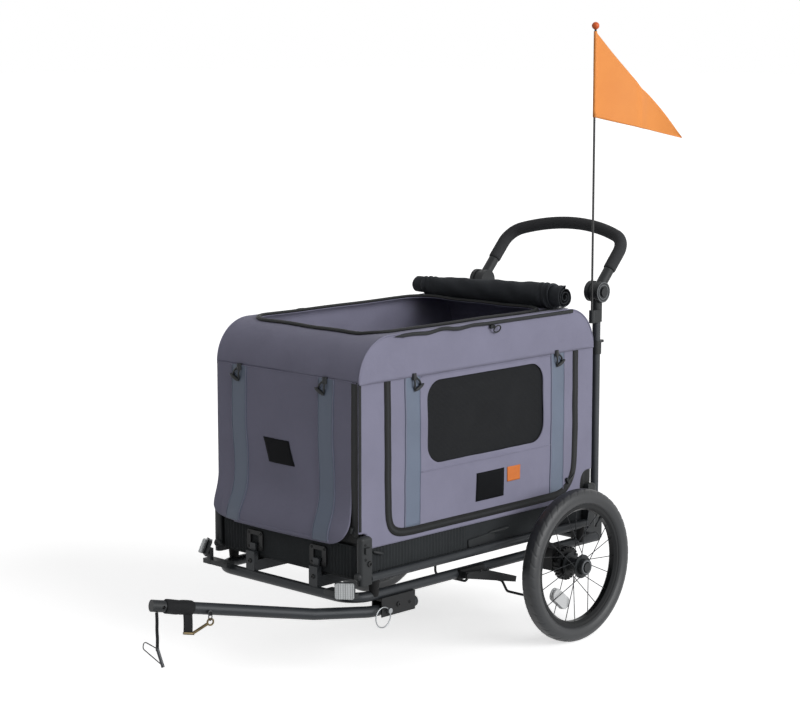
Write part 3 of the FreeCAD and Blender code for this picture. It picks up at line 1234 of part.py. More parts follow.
def handle():
    save("handle_tube", bent_tube(handle_path(CUFF_SEAT), HANDLE_RADIUS, TUBE_WALL))
    grip_path = handle_path(GRIP_START)
    save("foam_grip", swept(grip_path, GRIP_RADIUS).cut(swept(grip_path, HANDLE_RADIUS)))
    knuckle = joint_knuckle()
    save("joint_knuckles", *[mirrored(knuckle, side) for side in SIDES])
    outer = JOINT_CORE_WIDTH / 2 + SPREAD + CHEEK_WIDTH + JOINT_BUTTON_PROUD
    base = JOINT_CENTRE + Y_AXIS * UPRIGHT_Y
    button = rod(JOINT_BUTTON_RADIUS, base + Y_AXIS * (outer - JOINT_BUTTON_THICKNESS),
                 base + Y_AXIS * outer)
    for name, side in (("left", LEFT), ("right", RIGHT)):
        save(name + "_joint_button", mirrored(button, side))


def safety_flag():
    foot = V(POLE_X, POLE_Y, SLEEVE_BOTTOM_Z + POLE_SEAT)
    top = V(POLE_X, POLE_Y, POLE_TOP_Z)
    pole = rod(POLE_RADIUS, foot, top)
    save("flag_pole", pole)
    ball = Part.makeSphere(BALL_RADIUS, V(POLE_X, POLE_Y, POLE_TOP_Z))
    save("flag_ball", ball.cut(pole))
    bottom_z = FLAG_TOP_Z - FLAG_HOIST
    sleeve_radius = POLE_RADIUS + GAP + FLAG_SLEEVE_WALL
    low, high = V(POLE_X, POLE_Y, bottom_z), V(POLE_X, POLE_Y, FLAG_TOP_Z)
    sleeve = rod(sleeve_radius, low, high)
    fly = V(-math.cos(FLAG_TURN), math.sin(FLAG_TURN), 0)
    out = V(math.sin(FLAG_TURN), math.cos(FLAG_TURN), 0)
    cloth = sleeve
    before = (0.0, 0.0)
    for share, bow_share in FLAG_FOLD_SHARES:
        rows = []
        for along, bow in (before, (share, bow_share)):
            base = low + fly * (along * FLAG_FLY) + out * (bow * FLAG_FLY)
            upper = FLAG_TOP_Z + along * (FLAG_TIP_Z - FLAG_TOP_Z)
            lower = bottom_z + along * (FLAG_TIP_Z - bottom_z) - FLAG_CLOTH * along
            rows.append((V(base.x, base.y, lower), V(base.x, base.y, upper)))
        (near_low, near_high), (far_low, far_high) = rows
        half = out * (FLAG_CLOTH / 2)
        sheet = prism([near_low - half, far_low - half, far_high - half, near_high - half], out * FLAG_CLOTH)
        cloth = cloth.fuse(sheet)
        before = (share, bow_share)
    room = rod(POLE_RADIUS + GAP, low - Z_AXIS * OVERRUN, high + Z_AXIS * OVERRUN)
    save("flag", cloth.cut(room))


os.makedirs("parts", exist_ok=True)
wheels()
chassis()
corner_posts()
carrier_frame()
base_tray()
floor_mat()
cabin()
roof_mesh_roll()
front_hoop()
front_latches()
reflectors()
drawbar()
lock_pin()
strap_end_point = safety_strap()
snap_hook(*ring_and_hook(strap_end_point))
lanyard_and_pin()
parking_leg()
brake_bar()
uprights()
handle()
safety_flag()
print("axle at X", round(AXLE_X, 2))
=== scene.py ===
"""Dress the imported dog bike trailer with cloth, trim, tyres and finishes.

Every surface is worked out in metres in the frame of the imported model. Sizes read off the real
object are given from the axle, which is AXLE_X along the model.
"""
from functools import partial
import bmesh
import bpy
import numpy as np
from bpy.props import FloatProperty, FloatVectorProperty, PointerProperty
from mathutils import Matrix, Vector


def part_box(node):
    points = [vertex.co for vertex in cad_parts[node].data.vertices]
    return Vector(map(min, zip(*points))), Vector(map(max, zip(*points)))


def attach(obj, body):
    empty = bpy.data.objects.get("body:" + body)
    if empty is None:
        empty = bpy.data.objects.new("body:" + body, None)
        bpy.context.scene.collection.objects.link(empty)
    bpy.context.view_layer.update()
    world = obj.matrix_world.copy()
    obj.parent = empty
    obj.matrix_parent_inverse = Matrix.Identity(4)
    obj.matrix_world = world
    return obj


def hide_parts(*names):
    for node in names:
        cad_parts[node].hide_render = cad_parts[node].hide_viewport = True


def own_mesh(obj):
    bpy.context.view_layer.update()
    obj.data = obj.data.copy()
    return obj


bl_info = {
    "name": "Dog Bike Trailer",
    "version": (1, 0, 0),
    "blender": (4, 5, 0),
    "location": "View3D > Sidebar > Trailer",
    "description": "Cloth, trim, tyres, finishes and stage for a dog bike trailer",
    "category": "Object",
}

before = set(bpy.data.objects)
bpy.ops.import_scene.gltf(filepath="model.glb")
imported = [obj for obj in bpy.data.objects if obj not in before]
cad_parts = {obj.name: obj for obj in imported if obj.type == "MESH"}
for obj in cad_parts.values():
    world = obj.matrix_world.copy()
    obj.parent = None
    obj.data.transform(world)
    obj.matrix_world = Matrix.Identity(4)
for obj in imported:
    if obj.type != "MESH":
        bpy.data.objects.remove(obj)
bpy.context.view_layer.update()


def span(node, axis):
    """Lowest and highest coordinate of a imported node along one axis."""
    low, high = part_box(node)
    return low[axis], high[axis]


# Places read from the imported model, in metres
AXLE_X = sum(span("left_rim", 0)) / 2
AXLE_Z = sum(span("left_rim", 2)) / 2
WHEEL_Y = sum(span("left_tyre", 1)) / 2
TYRE_RADIUS = (span("left_tyre", 2)[1] - span("left_tyre", 2)[0]) / 2
TYRE_HALF = (span("left_tyre", 1)[1] - span("left_tyre", 1)[0]) / 2
HUB_OUT = span("left_hub", 1)[1]
REAR_X, FRONT_X = (v - AXLE_X for v in span("roof_cap", 0))
HALF_Y = span("roof_cap", 1)[1]
SEAM_Z, TOP_Z = span("roof_cap", 2)
HEM_Z = span("left_side_panel", 2)[0]
ARC = TOP_Z - SEAM_Z
TRAY_X = tuple(v - AXLE_X for v in span("base_tray", 0))
TRAY_Y = span("base_tray", 1)[1]
TRAY_Z = span("base_tray", 2)
MAT_X = tuple(v - AXLE_X for v in span("floor_mat", 0))
MAT_Y = span("floor_mat", 1)[1]
MAT_Z = span("floor_mat", 2)
WINDOW_X = tuple(v - AXLE_X for v in span("window_meshes", 0))
WINDOW_Z = span("window_meshes", 2)
SIDES = (1, -1)
NAMED_SIDES = ((1, "left"), (-1, "right"))

# Sizes of the cabin's cloth, its openings and its trim, in metres; heights are from the ground
FLAP_Y = 0.2295
FLAP_OVERLAP = 0.0205
SIDE_DROP = 0.0105
CLOTH_INSET = 0.002
CLOTH_WALL = 0.0024
ROOF_END_INSET = 0.001
WINDOW_CORNER = 0.045
OPENING_X = (0.600, -0.030)
OPENING_WIDTH = 0.44
OPENING_CORNER = 0.06
HANDLE_HINGE = (-0.262, 0, 0.877)
TRIM_WALL = 0.0012
TRIM_LIFT = 0.0021
STITCH_LIFT = 0.0031
SEAM_LIFT = 0.0022
STITCH_WIDTH = 0.0016
STRAP_TOP = 0.744
ZIP_TOP = 0.742


# Colours and nodes

# A wave texture's bands repeat every 0.314 / scale metres, so scale is WAVE_MM / spacing
WAVE_MM = 314


def linear(code):
    """An sRGB hex code as linear red, green, blue."""
    srgb = np.array([int(code[k:k + 2], 16) for k in (1, 3, 5)]) / 255
    return tuple(np.where(srgb <= 0.04045, srgb / 12.92, ((srgb + 0.055) / 1.055) ** 2.4))


def node(tree, kind, inputs=None, **settings):
    """Add a node with its settings; an input is a plain value or another node's socket."""
    made = tree.nodes.new(kind)
    for key, value in settings.items():
        setattr(made, key, value)
    for key, value in (inputs or {}).items():
        if isinstance(value, bpy.types.NodeSocket):
            tree.links.new(value, made.inputs[key])
        else:
            made.inputs[key].default_value = value
    return made


def new_material(name):
    """A new material with an empty node tree."""
    material = bpy.data.materials.new(name)
    material.use_nodes = True
    material.node_tree.nodes.clear()
    return material, material.node_tree


def spotted(name, dark, light, spot_mm, grain_mm, depth_mm, rough, **sockets):
    """A finish of two near colours in soft spots, with a fine grain that is raised a little.

    Moulded plastics, powder coats, rubber and foam differ in their spot and grain sizes.
    """
    material, tree = new_material(name)
    where = node(tree, "ShaderNodeTexCoord").outputs["Object"]
    spots = node(tree, "ShaderNodeTexNoise", {"Vector": where, "Scale": 1000 / spot_mm,
                                              "Detail": 3.0}).outputs["Fac"]
    grain = node(tree, "ShaderNodeTexNoise", {"Vector": where, "Scale": 1000 / grain_mm,
                                              "Detail": 2.0}).outputs["Fac"]
    colour = node(tree, "ShaderNodeMix", {0: spots, 6: (*linear(dark), 1), 7: (*linear(light), 1)},
                  data_type="RGBA")
    spread = node(tree, "ShaderNodeMapRange", {"Value": spots, "To Min": rough[0], "To Max": rough[1]})
    bump = node(tree, "ShaderNodeBump", {"Height": grain, "Distance": depth_mm / 1000})
    shader = node(tree, "ShaderNodeBsdfPrincipled",
                  {"Base Color": colour.outputs[2], "Roughness": spread.outputs["Result"],
                   "Normal": bump.outputs["Normal"], **sockets})
    node(tree, "ShaderNodeOutputMaterial", {"Surface": shader.outputs["BSDF"]})
    return material


def woven(name, dark, light, thread_mm, depth_mm, rough, **sockets):
    """Plain weave on the piece's own UV map, in metres: warp times weft, with soft shade spots.

    The two colours are linear. Shade spots are a ninth of a metre wide and creases a third of that.
    """
    material, tree = new_material(name)
    coords = node(tree, "ShaderNodeTexCoord")
    scale, shade_scale, crease_scale, crease_weight = WAVE_MM / thread_mm, 9.0, 21.0, 8.5
    warp = node(tree, "ShaderNodeTexWave", {"Vector": coords.outputs["UV"], "Scale": scale},
                bands_direction="X").outputs["Fac"]
    weft = node(tree, "ShaderNodeTexWave", {"Vector": coords.outputs["UV"], "Scale": scale},
                bands_direction="Y").outputs["Fac"]
    weave = node(tree, "ShaderNodeMath", {0: warp, 1: weft}, operation="MULTIPLY").outputs[0]
    shade = node(tree, "ShaderNodeTexNoise", {"Vector": coords.outputs["Object"], "Scale": shade_scale,
                                              "Detail": 4.0}).outputs["Fac"]
    both = node(tree, "ShaderNodeMath", {0: weave, 1: shade, 2: shade}, operation="MULTIPLY_ADD")
    colour = node(tree, "ShaderNodeMix", {0: both.outputs[0], 6: (*dark, 1), 7: (*light, 1)},
                  data_type="RGBA")
    spread = node(tree, "ShaderNodeMapRange", {"Value": shade, "To Min": rough[0], "To Max": rough[1]})
    creases = node(tree, "ShaderNodeTexNoise",
                   {"Vector": coords.outputs["Object"], "Scale": crease_scale, "Detail": 3.0,
                    "Distortion": 0.6}).outputs["Fac"]
    height = node(tree, "ShaderNodeMath", {0: creases, 1: crease_weight, 2: weave},
                  operation="MULTIPLY_ADD")
    bump = node(tree, "ShaderNodeBump", {"Height": height.outputs[0], "Distance": depth_mm / 1000})
    shader = node(tree, "ShaderNodeBsdfPrincipled",
                  {"Base Color": colour.outputs[2], "Roughness": spread.outputs["Result"],
                   "Normal": bump.outputs["Normal"], **sockets})
    node(tree, "ShaderNodeOutputMaterial", {"Surface": shader.outputs["BSDF"]})
    return material


def zip_tape(name, tape, coil):
    """A zip's tape with its coil along the middle; U runs along it and V across it, in metres.

    The coil is 6 mm wide and its teeth are 2.5 mm apart, coarser than real so that they show.
    """
    coil_mm, tooth_mm, rib_mm = 6, 2.5, 1.6
    material, tree = new_material(name)
    where = node(tree, "ShaderNodeTexCoord").outputs["UV"]
    parts = node(tree, "ShaderNodeSeparateXYZ", {"Vector": where})
    across = node(tree, "ShaderNodeMath", {0: parts.outputs["Y"]}, operation="ABSOLUTE").outputs[0]
    middle = node(tree, "ShaderNodeMath", {0: across, 1: coil_mm / 2000},
                  operation="LESS_THAN").outputs[0]
    teeth = node(tree, "ShaderNodeTexWave", {"Vector": where, "Scale": WAVE_MM / tooth_mm},
                 bands_direction="X").outputs["Fac"]
    ribs = node(tree, "ShaderNodeTexWave", {"Vector": where, "Scale": WAVE_MM / rib_mm},
                bands_direction="Y").outputs["Fac"]
    lines = node(tree, "ShaderNodeMix", {0: middle, 2: ribs, 3: teeth}, data_type="FLOAT")
    colour = node(tree, "ShaderNodeMix", {0: middle, 6: (*linear(tape), 1), 7: (*linear(coil), 1)},
                  data_type="RGBA")
    bump = node(tree, "ShaderNodeBump", {"Height": lines.outputs[0], "Distance": 0.0005})
    shader = node(tree, "ShaderNodeBsdfPrincipled",
                  {"Base Color": colour.outputs[2], "Roughness": 0.55, "Specular IOR Level": 0.25,
                   "Normal": bump.outputs["Normal"]})
    node(tree, "ShaderNodeOutputMaterial", {"Surface": shader.outputs["BSDF"]})
    return material


def pierced(name, dark, light, hole_mm):
    """Knitted mesh on the piece's own UV map: round holes in rows, painted darker than the yarn as
    painted shade seen through them.
    """
    material, tree = new_material(name)
    where = node(tree, "ShaderNodeTexCoord")
    cells = node(tree, "ShaderNodeTexVoronoi", {"Vector": where.outputs["UV"],
                                                "Scale": 1000 / hole_mm, "Randomness": 0.12})
    hole = node(tree, "ShaderNodeMapRange", {"Value": cells.outputs["Distance"], "From Min": 0.28,
                                             "From Max": 0.46}).outputs["Result"]
    # The holes take the dark colour: painted shade of what lies behind the mesh
    colour = node(tree, "ShaderNodeMix", {0: hole, 6: (*linear(dark), 1), 7: (*linear(light), 1)},
                  data_type="RGBA")
    bump = node(tree, "ShaderNodeBump", {"Height": hole, "Distance": 0.0005})
    shader = node(tree, "ShaderNodeBsdfPrincipled",
                  {"Base Color": colour.outputs[2], "Roughness": 0.75, "Specular IOR Level": 0.15,
                   "Normal": bump.outputs["Normal"]})
    node(tree, "ShaderNodeOutputMaterial", {"Surface": shader.outputs["BSDF"]})
    return material


def ribbed_lens(name, colour, rib_mm):
    """Clear moulded acrylic over a prism back: narrow upright ribs on Object coordinates."""
    material, tree = new_material(name)
    where = node(tree, "ShaderNodeTexCoord").outputs["Object"]
    ribs = node(tree, "ShaderNodeTexWave", {"Vector": where, "Scale": WAVE_MM / rib_mm},
                bands_direction="Y").outputs["Fac"]
    rows = node(tree, "ShaderNodeTexWave", {"Vector": where, "Scale": WAVE_MM / rib_mm},
                bands_direction="Z").outputs["Fac"]
    prisms = node(tree, "ShaderNodeMath", {0: ribs, 1: rows}, operation="MULTIPLY").outputs[0]
    broad = node(tree, "ShaderNodeTexWave", {"Vector": where, "Scale": WAVE_MM / (3 * rib_mm)},
                 bands_direction="Y").outputs["Fac"]
    both = node(tree, "ShaderNodeMath", {0: prisms, 1: broad}, operation="ADD")
    half = node(tree, "ShaderNodeMath", {0: both.outputs[0], 1: 0.5}, operation="MULTIPLY").outputs[0]
    pale = linear(colour)
    tone = node(tree, "ShaderNodeMix", {0: half, 6: (*tinted(pale, 0.68), 1), 7: (*pale, 1)},
                data_type="RGBA")
    bump = node(tree, "ShaderNodeBump", {"Height": ribs, "Distance": 0.0006})
    shader = node(tree, "ShaderNodeBsdfPrincipled",
                  {"Base Color": tone.outputs[2], "Roughness": 0.12, "IOR": 1.49, "Coat Weight": 0.6,
                   "Normal": bump.outputs["Normal"]})
    node(tree, "ShaderNodeOutputMaterial", {"Surface": shader.outputs["BSDF"]})
    return material


def tinted(colour, gain):
    """A linear colour made darker or lighter."""
    return tuple(min(gain * channel, 1.0) for channel in colour)


FINISHES = {}


def make_finishes(colours):
    """Every finish of the trailer, by its plain name."""
    cloth, strap, flag = (tuple(c) for c in (colours.cloth, colours.strap, colours.flag))
    dull = {"Specular IOR Level": 0.2}
    satin = {"Specular IOR Level": 0.3}
    # Polyester oxford with a coated back: flat, slightly waxy, threads drawn 2.4 mm apart to show
    FINISHES["cloth"] = woven("coated_oxford_cloth", tinted(cloth, 0.86), tinted(cloth, 1.13), 2.4,
                              0.22, (0.62, 0.78), **dull,
                              **{"Sheen Weight": 0.08, "Sheen Roughness": 0.5})
    # Thin polyester webbing, smoother and bluer than the cloth
    FINISHES["strap"] = woven("polyester_webbing", tinted(strap, 0.84), tinted(strap, 1.15), 1.8,
                              0.14, (0.46, 0.58), **{"Sheen Weight": 0.06})
    # Ripstop nylon of the flag, thin and a little shiny
    FINISHES["flag"] = woven("ripstop_flag_nylon", tinted(flag, 0.9), tinted(flag, 1.1), 4.0, 0.1,
                             (0.42, 0.55), **satin, **{"Sheen Weight": 0.15})
    # Black oxford of the base band and of the black bindings
    FINISHES["band"] = woven("black_oxford_band", linear("#232527"), linear("#36393B"), 2.4, 0.3,
                             (0.6, 0.8), **{"Specular IOR Level": 0.1})
    # Black nylon webbing of the drawbar strap and the loops
    FINISHES["webbing"] = woven("black_nylon_webbing", linear("#0E0F10"), linear("#202123"), 1.6, 0.3,
                                (0.6, 0.8), **dull)
    # Nylon coil zip: matt black tape with a slightly paler coil along its middle
    FINISHES["zip"] = zip_tape("nylon_coil_zip", "#131415", "#242628")
    # Knitted polyester mesh of the windows: near black, holes drawn 3 mm apart to show; the holes are
    # painted near black as painted shade of the cabin's inside seen through them
    FINISHES["mesh"] = pierced("black_knit_mesh_shaded_holes", "#0A0A0B", "#26282B", 3.0)
    # The same mesh rolled up: many layers over each other, so it looks greyer
    FINISHES["rolled_mesh"] = pierced("rolled_knit_mesh", "#1E2023", "#3E4146", 3.0)
    # Satin label ribbon and coated leather patch, both bare
    FINISHES["label"] = woven("black_satin_label", linear("#0B0C0E"), linear("#151619"), 1.2, 0.08,
                              (0.6, 0.7), **{"Specular IOR Level": 0.06})
    FINISHES["patch"] = spotted("orange_leather_patch", "#C96A26", "#DE7C31", 14, 1.6, 0.15,
                                (0.5, 0.62))
    # Quilted fleece of the floor mat
    FINISHES["mat"] = spotted("grey_fleece", "#3A3B40", "#4C4D53", 40, 2.5, 0.8, (0.85, 0.95),
                              **dull, **{"Sheen Weight": 0.4})
    # Powder-coated aluminium tube: dark grey, satin, with a fine orange-peel
    FINISHES["tube"] = spotted("satin_powder_coat", "#26292C", "#33363A", 60, 1.4, 0.05,
                               (0.36, 0.46), Metallic=0.2, **satin)
    # The same coat, painted paler on the uprights than on the tubes: painted light, a lit copy of one
    # finish
    FINISHES["upright"] = spotted("lit_copy_powder_coat", "#36393D", "#44474C", 60, 1.4, 0.05,
                                  (0.34, 0.44), Metallic=0.2, **satin)
    # Black coated steel of brackets and the axle carriers
    FINISHES["black_metal"] = spotted("black_coated_steel", "#131415", "#1F2022", 30, 1.2, 0.06,
                                      (0.4, 0.55), Metallic=0.2, **satin)
    # Moulded glass-filled nylon: black with a fine spark-eroded grain
    FINISHES["plastic"] = spotted("black_moulded_nylon", "#1D1F21", "#292C2E", 50, 1.1, 0.1,
                                  (0.42, 0.56), **satin)
    # The same nylon in mid grey, on the rings of the hubs and joints
    FINISHES["grey_plastic"] = spotted("grey_moulded_nylon", "#5C5F62", "#6C6F72", 40, 1.1, 0.1,
                                       (0.4, 0.5), **satin)
    # Moulded polypropylene shell of the base: duller and darker than the nylon
    FINISHES["base"] = spotted("black_base_shell", "#101112", "#1B1D1F", 60, 1.6, 0.15, (0.55, 0.7),
                               **dull)
    # Moulded rubber of the buffers: matt black
    FINISHES["buffer"] = spotted("black_rubber_buffer", "#121213", "#1E1E1F", 20, 1.5, 0.15,
                                 (0.7, 0.85), **dull)
    # Closed-cell foam sleeve: matt black with open pores
    FINISHES["foam"] = spotted("closed_cell_foam", "#37383A", "#454648", 9, 1.0, 0.35, (0.82, 0.93),
                               **dull)
    # Tyre rubber: dark grey, slightly bloomed
    FINISHES["tyre"] = spotted("tyre_rubber", "#232527", "#2D2F32", 35, 1.3, 0.08, (0.36, 0.5))
    # Black anodised aluminium: smooth, with a soft metal gloss
    FINISHES["rim"] = spotted("black_anodised_rim", "#131415", "#1E2022", 40, 0.9, 0.03, (0.3, 0.42),
                              Metallic=0.4, **satin)
    # Drawn and blackened wire: thin bright lines on black
    FINISHES["spoke"] = spotted("black_steel_wire", "#1C1D1F", "#2B2D30", 12, 0.8, 0.02, (0.3, 0.4),
                                Metallic=0.8)
    # Zinc-plated steel: bright, with a slightly uneven gloss
    FINISHES["steel"] = spotted("bright_zinc_steel", "#8A8D90", "#A4A6A8", 10, 0.9, 0.03,
                                (0.26, 0.4), Metallic=1.0)
    # Blackened wire and pins, worn a little bright
    FINISHES["dark_steel"] = spotted("blackened_steel", "#2A2B2D", "#4A4C4E", 7, 0.8, 0.03,
                                     (0.24, 0.4), Metallic=0.9)
    # Cast brass of the snap hook: brown and dulled by use
    FINISHES["brass"] = spotted("worn_brass", "#453E30", "#75684E", 9, 0.9, 0.04, (0.28, 0.42),
                                Metallic=1.0)
    # Pulled glass fibre rod: black, with a faint gloss
    FINISHES["pole"] = spotted("pultruded_glass_fibre", "#101112", "#1A1B1C", 8, 0.8, 0.04,
                               (0.34, 0.46))
    # Moulded cap of the pole: plain orange plastic
    FINISHES["orange"] = spotted("orange_moulded_cap", "#D9581A", "#EC6A22", 20, 1.0, 0.05,
                                 (0.36, 0.46))
    # Moulded acrylic with a prism back: pale and glossy, prisms drawn 4.5 mm apart to show
    FINISHES["lens"] = ribbed_lens("clear_prism_lens", "#D6DADC", 4.5)
    FINISHES["spoke_lens"] = ribbed_lens("white_prism_lens", "#F0F2F3", 4.5)


# Surfaces

def at(x, y, z):
    """Points measured from the axle line, as an array of places in the model's frame."""
    return np.stack(np.broadcast_arrays(np.asarray(x, float) + AXLE_X, y, z), -1)


def grid(points, uv=None, wrap=(False, False), finish=0):
    """Quads over rows and columns of points; wrap joins the last row or column to the first."""
    index = np.arange(points.shape[0] * points.shape[1]).reshape(points.shape[:2])
    full = np.pad(index, ((0, int(wrap[0])), (0, int(wrap[1]))), mode="wrap")

    def quads(of):
        """The four corners of every cell, in order round it."""
        return np.stack([of[:-1, :-1], of[1:, :-1], of[1:, 1:], of[:-1, 1:]], -1).reshape(-1, 4)

    if uv is None:
        rows, columns = np.indices(full.shape)
        uv = np.stack([rows, columns], -1) * 0.002
    corners = quads(np.arange(full.size).reshape(full.shape))
    return points.reshape(-1, 3), quads(full), uv.reshape(-1, 2)[corners].reshape(-1, 2), finish


def eased(points, step, rounds=4, closed=False):
    """A smooth line: each round replaces every corner by its quarter points, then points are
    placed one step apart along it."""
    line = np.asarray(points, float)
    if closed:
        line = np.vstack([line, line[:1]])
    for _ in range(rounds):
        near, far = 0.75 * line[:-1] + 0.25 * line[1:], 0.25 * line[:-1] + 0.75 * line[1:]
        cut = np.stack([near, far], 1).reshape(-1, line.shape[1])
        if closed:
            wrap = np.vstack([cut[1:], cut[:1]])
            line = np.vstack([wrap, wrap[:1]])
        else:
            line = np.vstack([line[:1], cut, line[-1:]])
    run = np.concatenate([[0], np.cumsum(np.linalg.norm(np.diff(line, axis=0), axis=1))])
    stations = np.linspace(0, run[-1], max(3, int(round(run[-1] / step)) + 1))
    return np.stack([np.interp(stations, run, line[:, k]) for k in range(line.shape[1])], -1)


def band(line, width, columns=5):
    """A flat ribbon about a plane line: the line moved sideways by shares of the width.

    Returns the plane points and the UV, along and across in metres.
    """
    ahead = np.gradient(line, axis=0)
    ahead /= np.linalg.norm(ahead, axis=1, keepdims=True)
    beside = np.stack([-ahead[:, 1], ahead[:, 0]], -1)
    offsets = np.linspace(-width / 2, width / 2, columns)
    places = line[:, None] + beside[:, None] * offsets[None, :, None]
    run = np.concatenate([[0], np.cumsum(np.linalg.norm(np.diff(line, axis=0), axis=1))])
    uv = np.stack(np.meshgrid(run, offsets, indexing="ij"), -1)
    return places, uv


def tube(line, radii, reference, segments):
    """A grid of circles carried along a line, with a radius at each station and closed ends.

    Its first direction is square to the line and to the reference vector.
    """
    line = np.asarray(line, float)
    radii = np.broadcast_to(np.asarray(radii, float), len(line))
    ahead = np.gradient(line, axis=0)
    ahead /= np.linalg.norm(ahead, axis=1, keepdims=True)
    first = np.cross(ahead, np.asarray(reference, float))
    first /= np.linalg.norm(first, axis=1, keepdims=True)
    second = np.cross(first, ahead)
    angle = np.linspace(0, 2 * np.pi, segments, endpoint=False)
    cosine, sine = np.cos(angle)[None, :, None], np.sin(angle)[None, :, None]
    ring = first[:, None] * cosine + second[:, None] * sine
    body = line[:, None] + ring * radii[:, None, None]
    ends = [np.repeat(line[k][None, None], segments, 1) for k in (0, -1)]
    points = np.concatenate([ends[0], body, ends[1]])
    run = np.concatenate([[0], np.cumsum(np.linalg.norm(np.diff(line, axis=0), axis=1))])
    run = np.concatenate([run[:1], run, run[-1:]])
    round_uv = np.arange(segments + 1) / segments * 2 * np.pi * radii.max()
    uv = np.stack(np.meshgrid(run, round_uv, indexing="ij"), -1)
    return grid(points, uv, (False, True))


def turned(profile, centre, axis, segments):
    """A grid of a profile of (radius, height) pairs turned about an axis through a centre."""
    axis = np.asarray(axis, float) / np.linalg.norm(axis)
    helper = np.array([0, 0, 1.0]) if abs(axis[2]) < 0.9 else np.array([1.0, 0, 0])
    first = np.cross(axis, helper)
    first /= np.linalg.norm(first)
    second = np.cross(axis, first)
    profile = np.asarray(profile, float)
    angle = np.linspace(0, 2 * np.pi, segments, endpoint=False)
    ring = first * np.cos(angle)[:, None] + second * np.sin(angle)[:, None]
    rise = axis * profile[:, 1][:, None, None]
    points = np.asarray(centre, float) + rise + ring[None] * profile[:, 0][:, None, None]
    return grid(points, wrap=(False, True))


def rounded_outline(width, height, radius, per_corner=6):
    """The outline of a rounded rectangle about the origin: four quarter circles joined up."""
    quarter = np.linspace(0, np.pi / 2, per_corner)
    radius = max(radius, 1e-5)
    parts = []
    for turn, (sx, sy) in enumerate(((1, 1), (-1, 1), (-1, -1), (1, -1))):
        angle = quarter + turn * np.pi / 2
        parts.append(np.stack([sx * (width / 2 - radius) + radius * np.cos(angle),
                               sy * (height / 2 - radius) + radius * np.sin(angle)], -1))
    return np.concatenate(parts)


def block(base, axes, size, corner, edge):
    """A rounded block: a rounded outline carried up its height, drawn in along both edges.

    The base is the middle of its lower face, and each end closes in one point.
    """
    width, height, depth = size
    point = None
    levels = [(point, 0.0), (edge / 3, 0.0), (0.0, edge), (0.0, depth - edge), (edge / 3, depth),
              (point, depth)]
    first, second, third = (np.asarray(a, float) / np.linalg.norm(a) for a in axes)
    rings = []
    for inset, up in levels:
        if inset is point:
            flat = np.zeros((24, 2))
        else:
            flat = rounded_outline(width - 2 * inset, height - 2 * inset, corner - inset)
        across = first * flat[:, :1] + second * flat[:, 1:]
        rings.append(np.asarray(base, float) + across + third * up)
    return grid(np.stack(rings), wrap=(False, True))


def linked(name, data):
    """A new object with its data, linked to the scene."""
    made = bpy.data.objects.new(name, data)
    bpy.context.scene.collection.objects.link(made)
    return made


def piece(name, parts, finishes, body="chassis", stands_for=(), wall=0.0, closed=False,
          sharp=40.0, folds=False):
    """Join grids into one object that rides on a body, with its doubles merged.

    A sheet gets a wall of even thickness about its surface; a closed form gets its faces turned out.
    """
    starts = np.cumsum([0] + [len(part[0]) for part in parts])
    mesh = bpy.data.meshes.new(name)
    mesh.from_pydata(np.concatenate([part[0] for part in parts]), [],
                     np.concatenate([part[1] + start for part, start in zip(parts, starts)]))
    layer = mesh.uv_layers.new(name="UVMap")
    layer.uv.foreach_set("vector", np.concatenate([part[2] for part in parts]).ravel())
    mesh.polygons.foreach_set("material_index",
                              np.concatenate([np.full(len(part[1]), part[3]) for part in parts]))
    for finish in finishes:
        mesh.materials.append(FINISHES[finish])
    work = bmesh.new()
    work.from_mesh(mesh)
    bmesh.ops.remove_doubles(work, verts=work.verts, dist=1e-6)
    if closed:
        bmesh.ops.recalc_face_normals(work, faces=work.faces)
    work.to_mesh(mesh)
    work.free()
    mesh.shade_smooth()
    mesh.set_sharp_from_angle(angle=np.radians(sharp))
    made = linked(name, mesh)
    if wall:
        thick = made.modifiers.new("wall", "SOLIDIFY")
        thick.thickness = wall
        thick.offset = 0.0
    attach(made, body)
    if stands_for:
        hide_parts(*stands_for)
    if folds:
        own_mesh(made)
    return made


# The cabin's cloth faces

def side_puff(x, z):
    """How far the side cloth stands out: a low dome, slow ripples and slack near the hem."""
    along = np.sin(np.pi * np.clip((x - REAR_X) / (FRONT_X - REAR_X), 0, 1))
    up = np.sin(np.pi * np.clip((z - HEM_Z) / (SEAM_Z - HEM_Z), 0, 1))
    ripple = np.sin(34 * x + 11 * z + 1.3) + 0.7 * np.sin(57 * z - 19 * x)
    ripple = ripple + 0.5 * np.sin(83 * x + 23 * z)
    return 0.005 * along * up + 0.0009 * ripple * np.sqrt(along * up)


def on_side(side, x, z, lift=0.0):
    """Places on the left or right cloth face, lifted off it."""
    return at(x, side * (HALF_Y - CLOTH_INSET + side_puff(x, z) + lift), z)


def front_puff(y, z):
    """How far the front cloth stands forward: a low dome with slow ripples."""
    across = np.clip(1 - (y / HALF_Y) ** 4, 0, 1)
    up = np.sin(np.pi * np.clip((z - HEM_Z) / (SEAM_Z - HEM_Z), 0, 1))
    ripple = np.sin(31 * y + 13 * z + 0.4) + 0.7 * np.sin(47 * z - 21 * y + 2.0)
    return 0.004 * across * up + 0.0011 * ripple * across * up


def on_front(y, z, lift=0.0):
    """Places on the front cloth face, lifted off it."""
    return at(FRONT_X - CLOTH_INSET + front_puff(y, z) + lift, y, z)


def on_flap(y, z, lift=0.0):
    """Places on the front flap, which flares forward along its loose lower edge.

    The flare is a bell over the height, 24 mm at most, and weaker along the two upright edges.
    """
    sag = 0.6 + 0.4 * np.cos(13 * y + 0.6)
    bell = np.exp(-(((z - HEM_Z - 0.015) / 0.062) ** 2))
    flare = 0.024 * bell * (1 - 0.45 * np.minimum(np.abs(y) / FLAP_Y, 1) ** 8)
    return on_front(y, z, lift + 0.0012 + flare * (0.8 + 0.2 * sag))


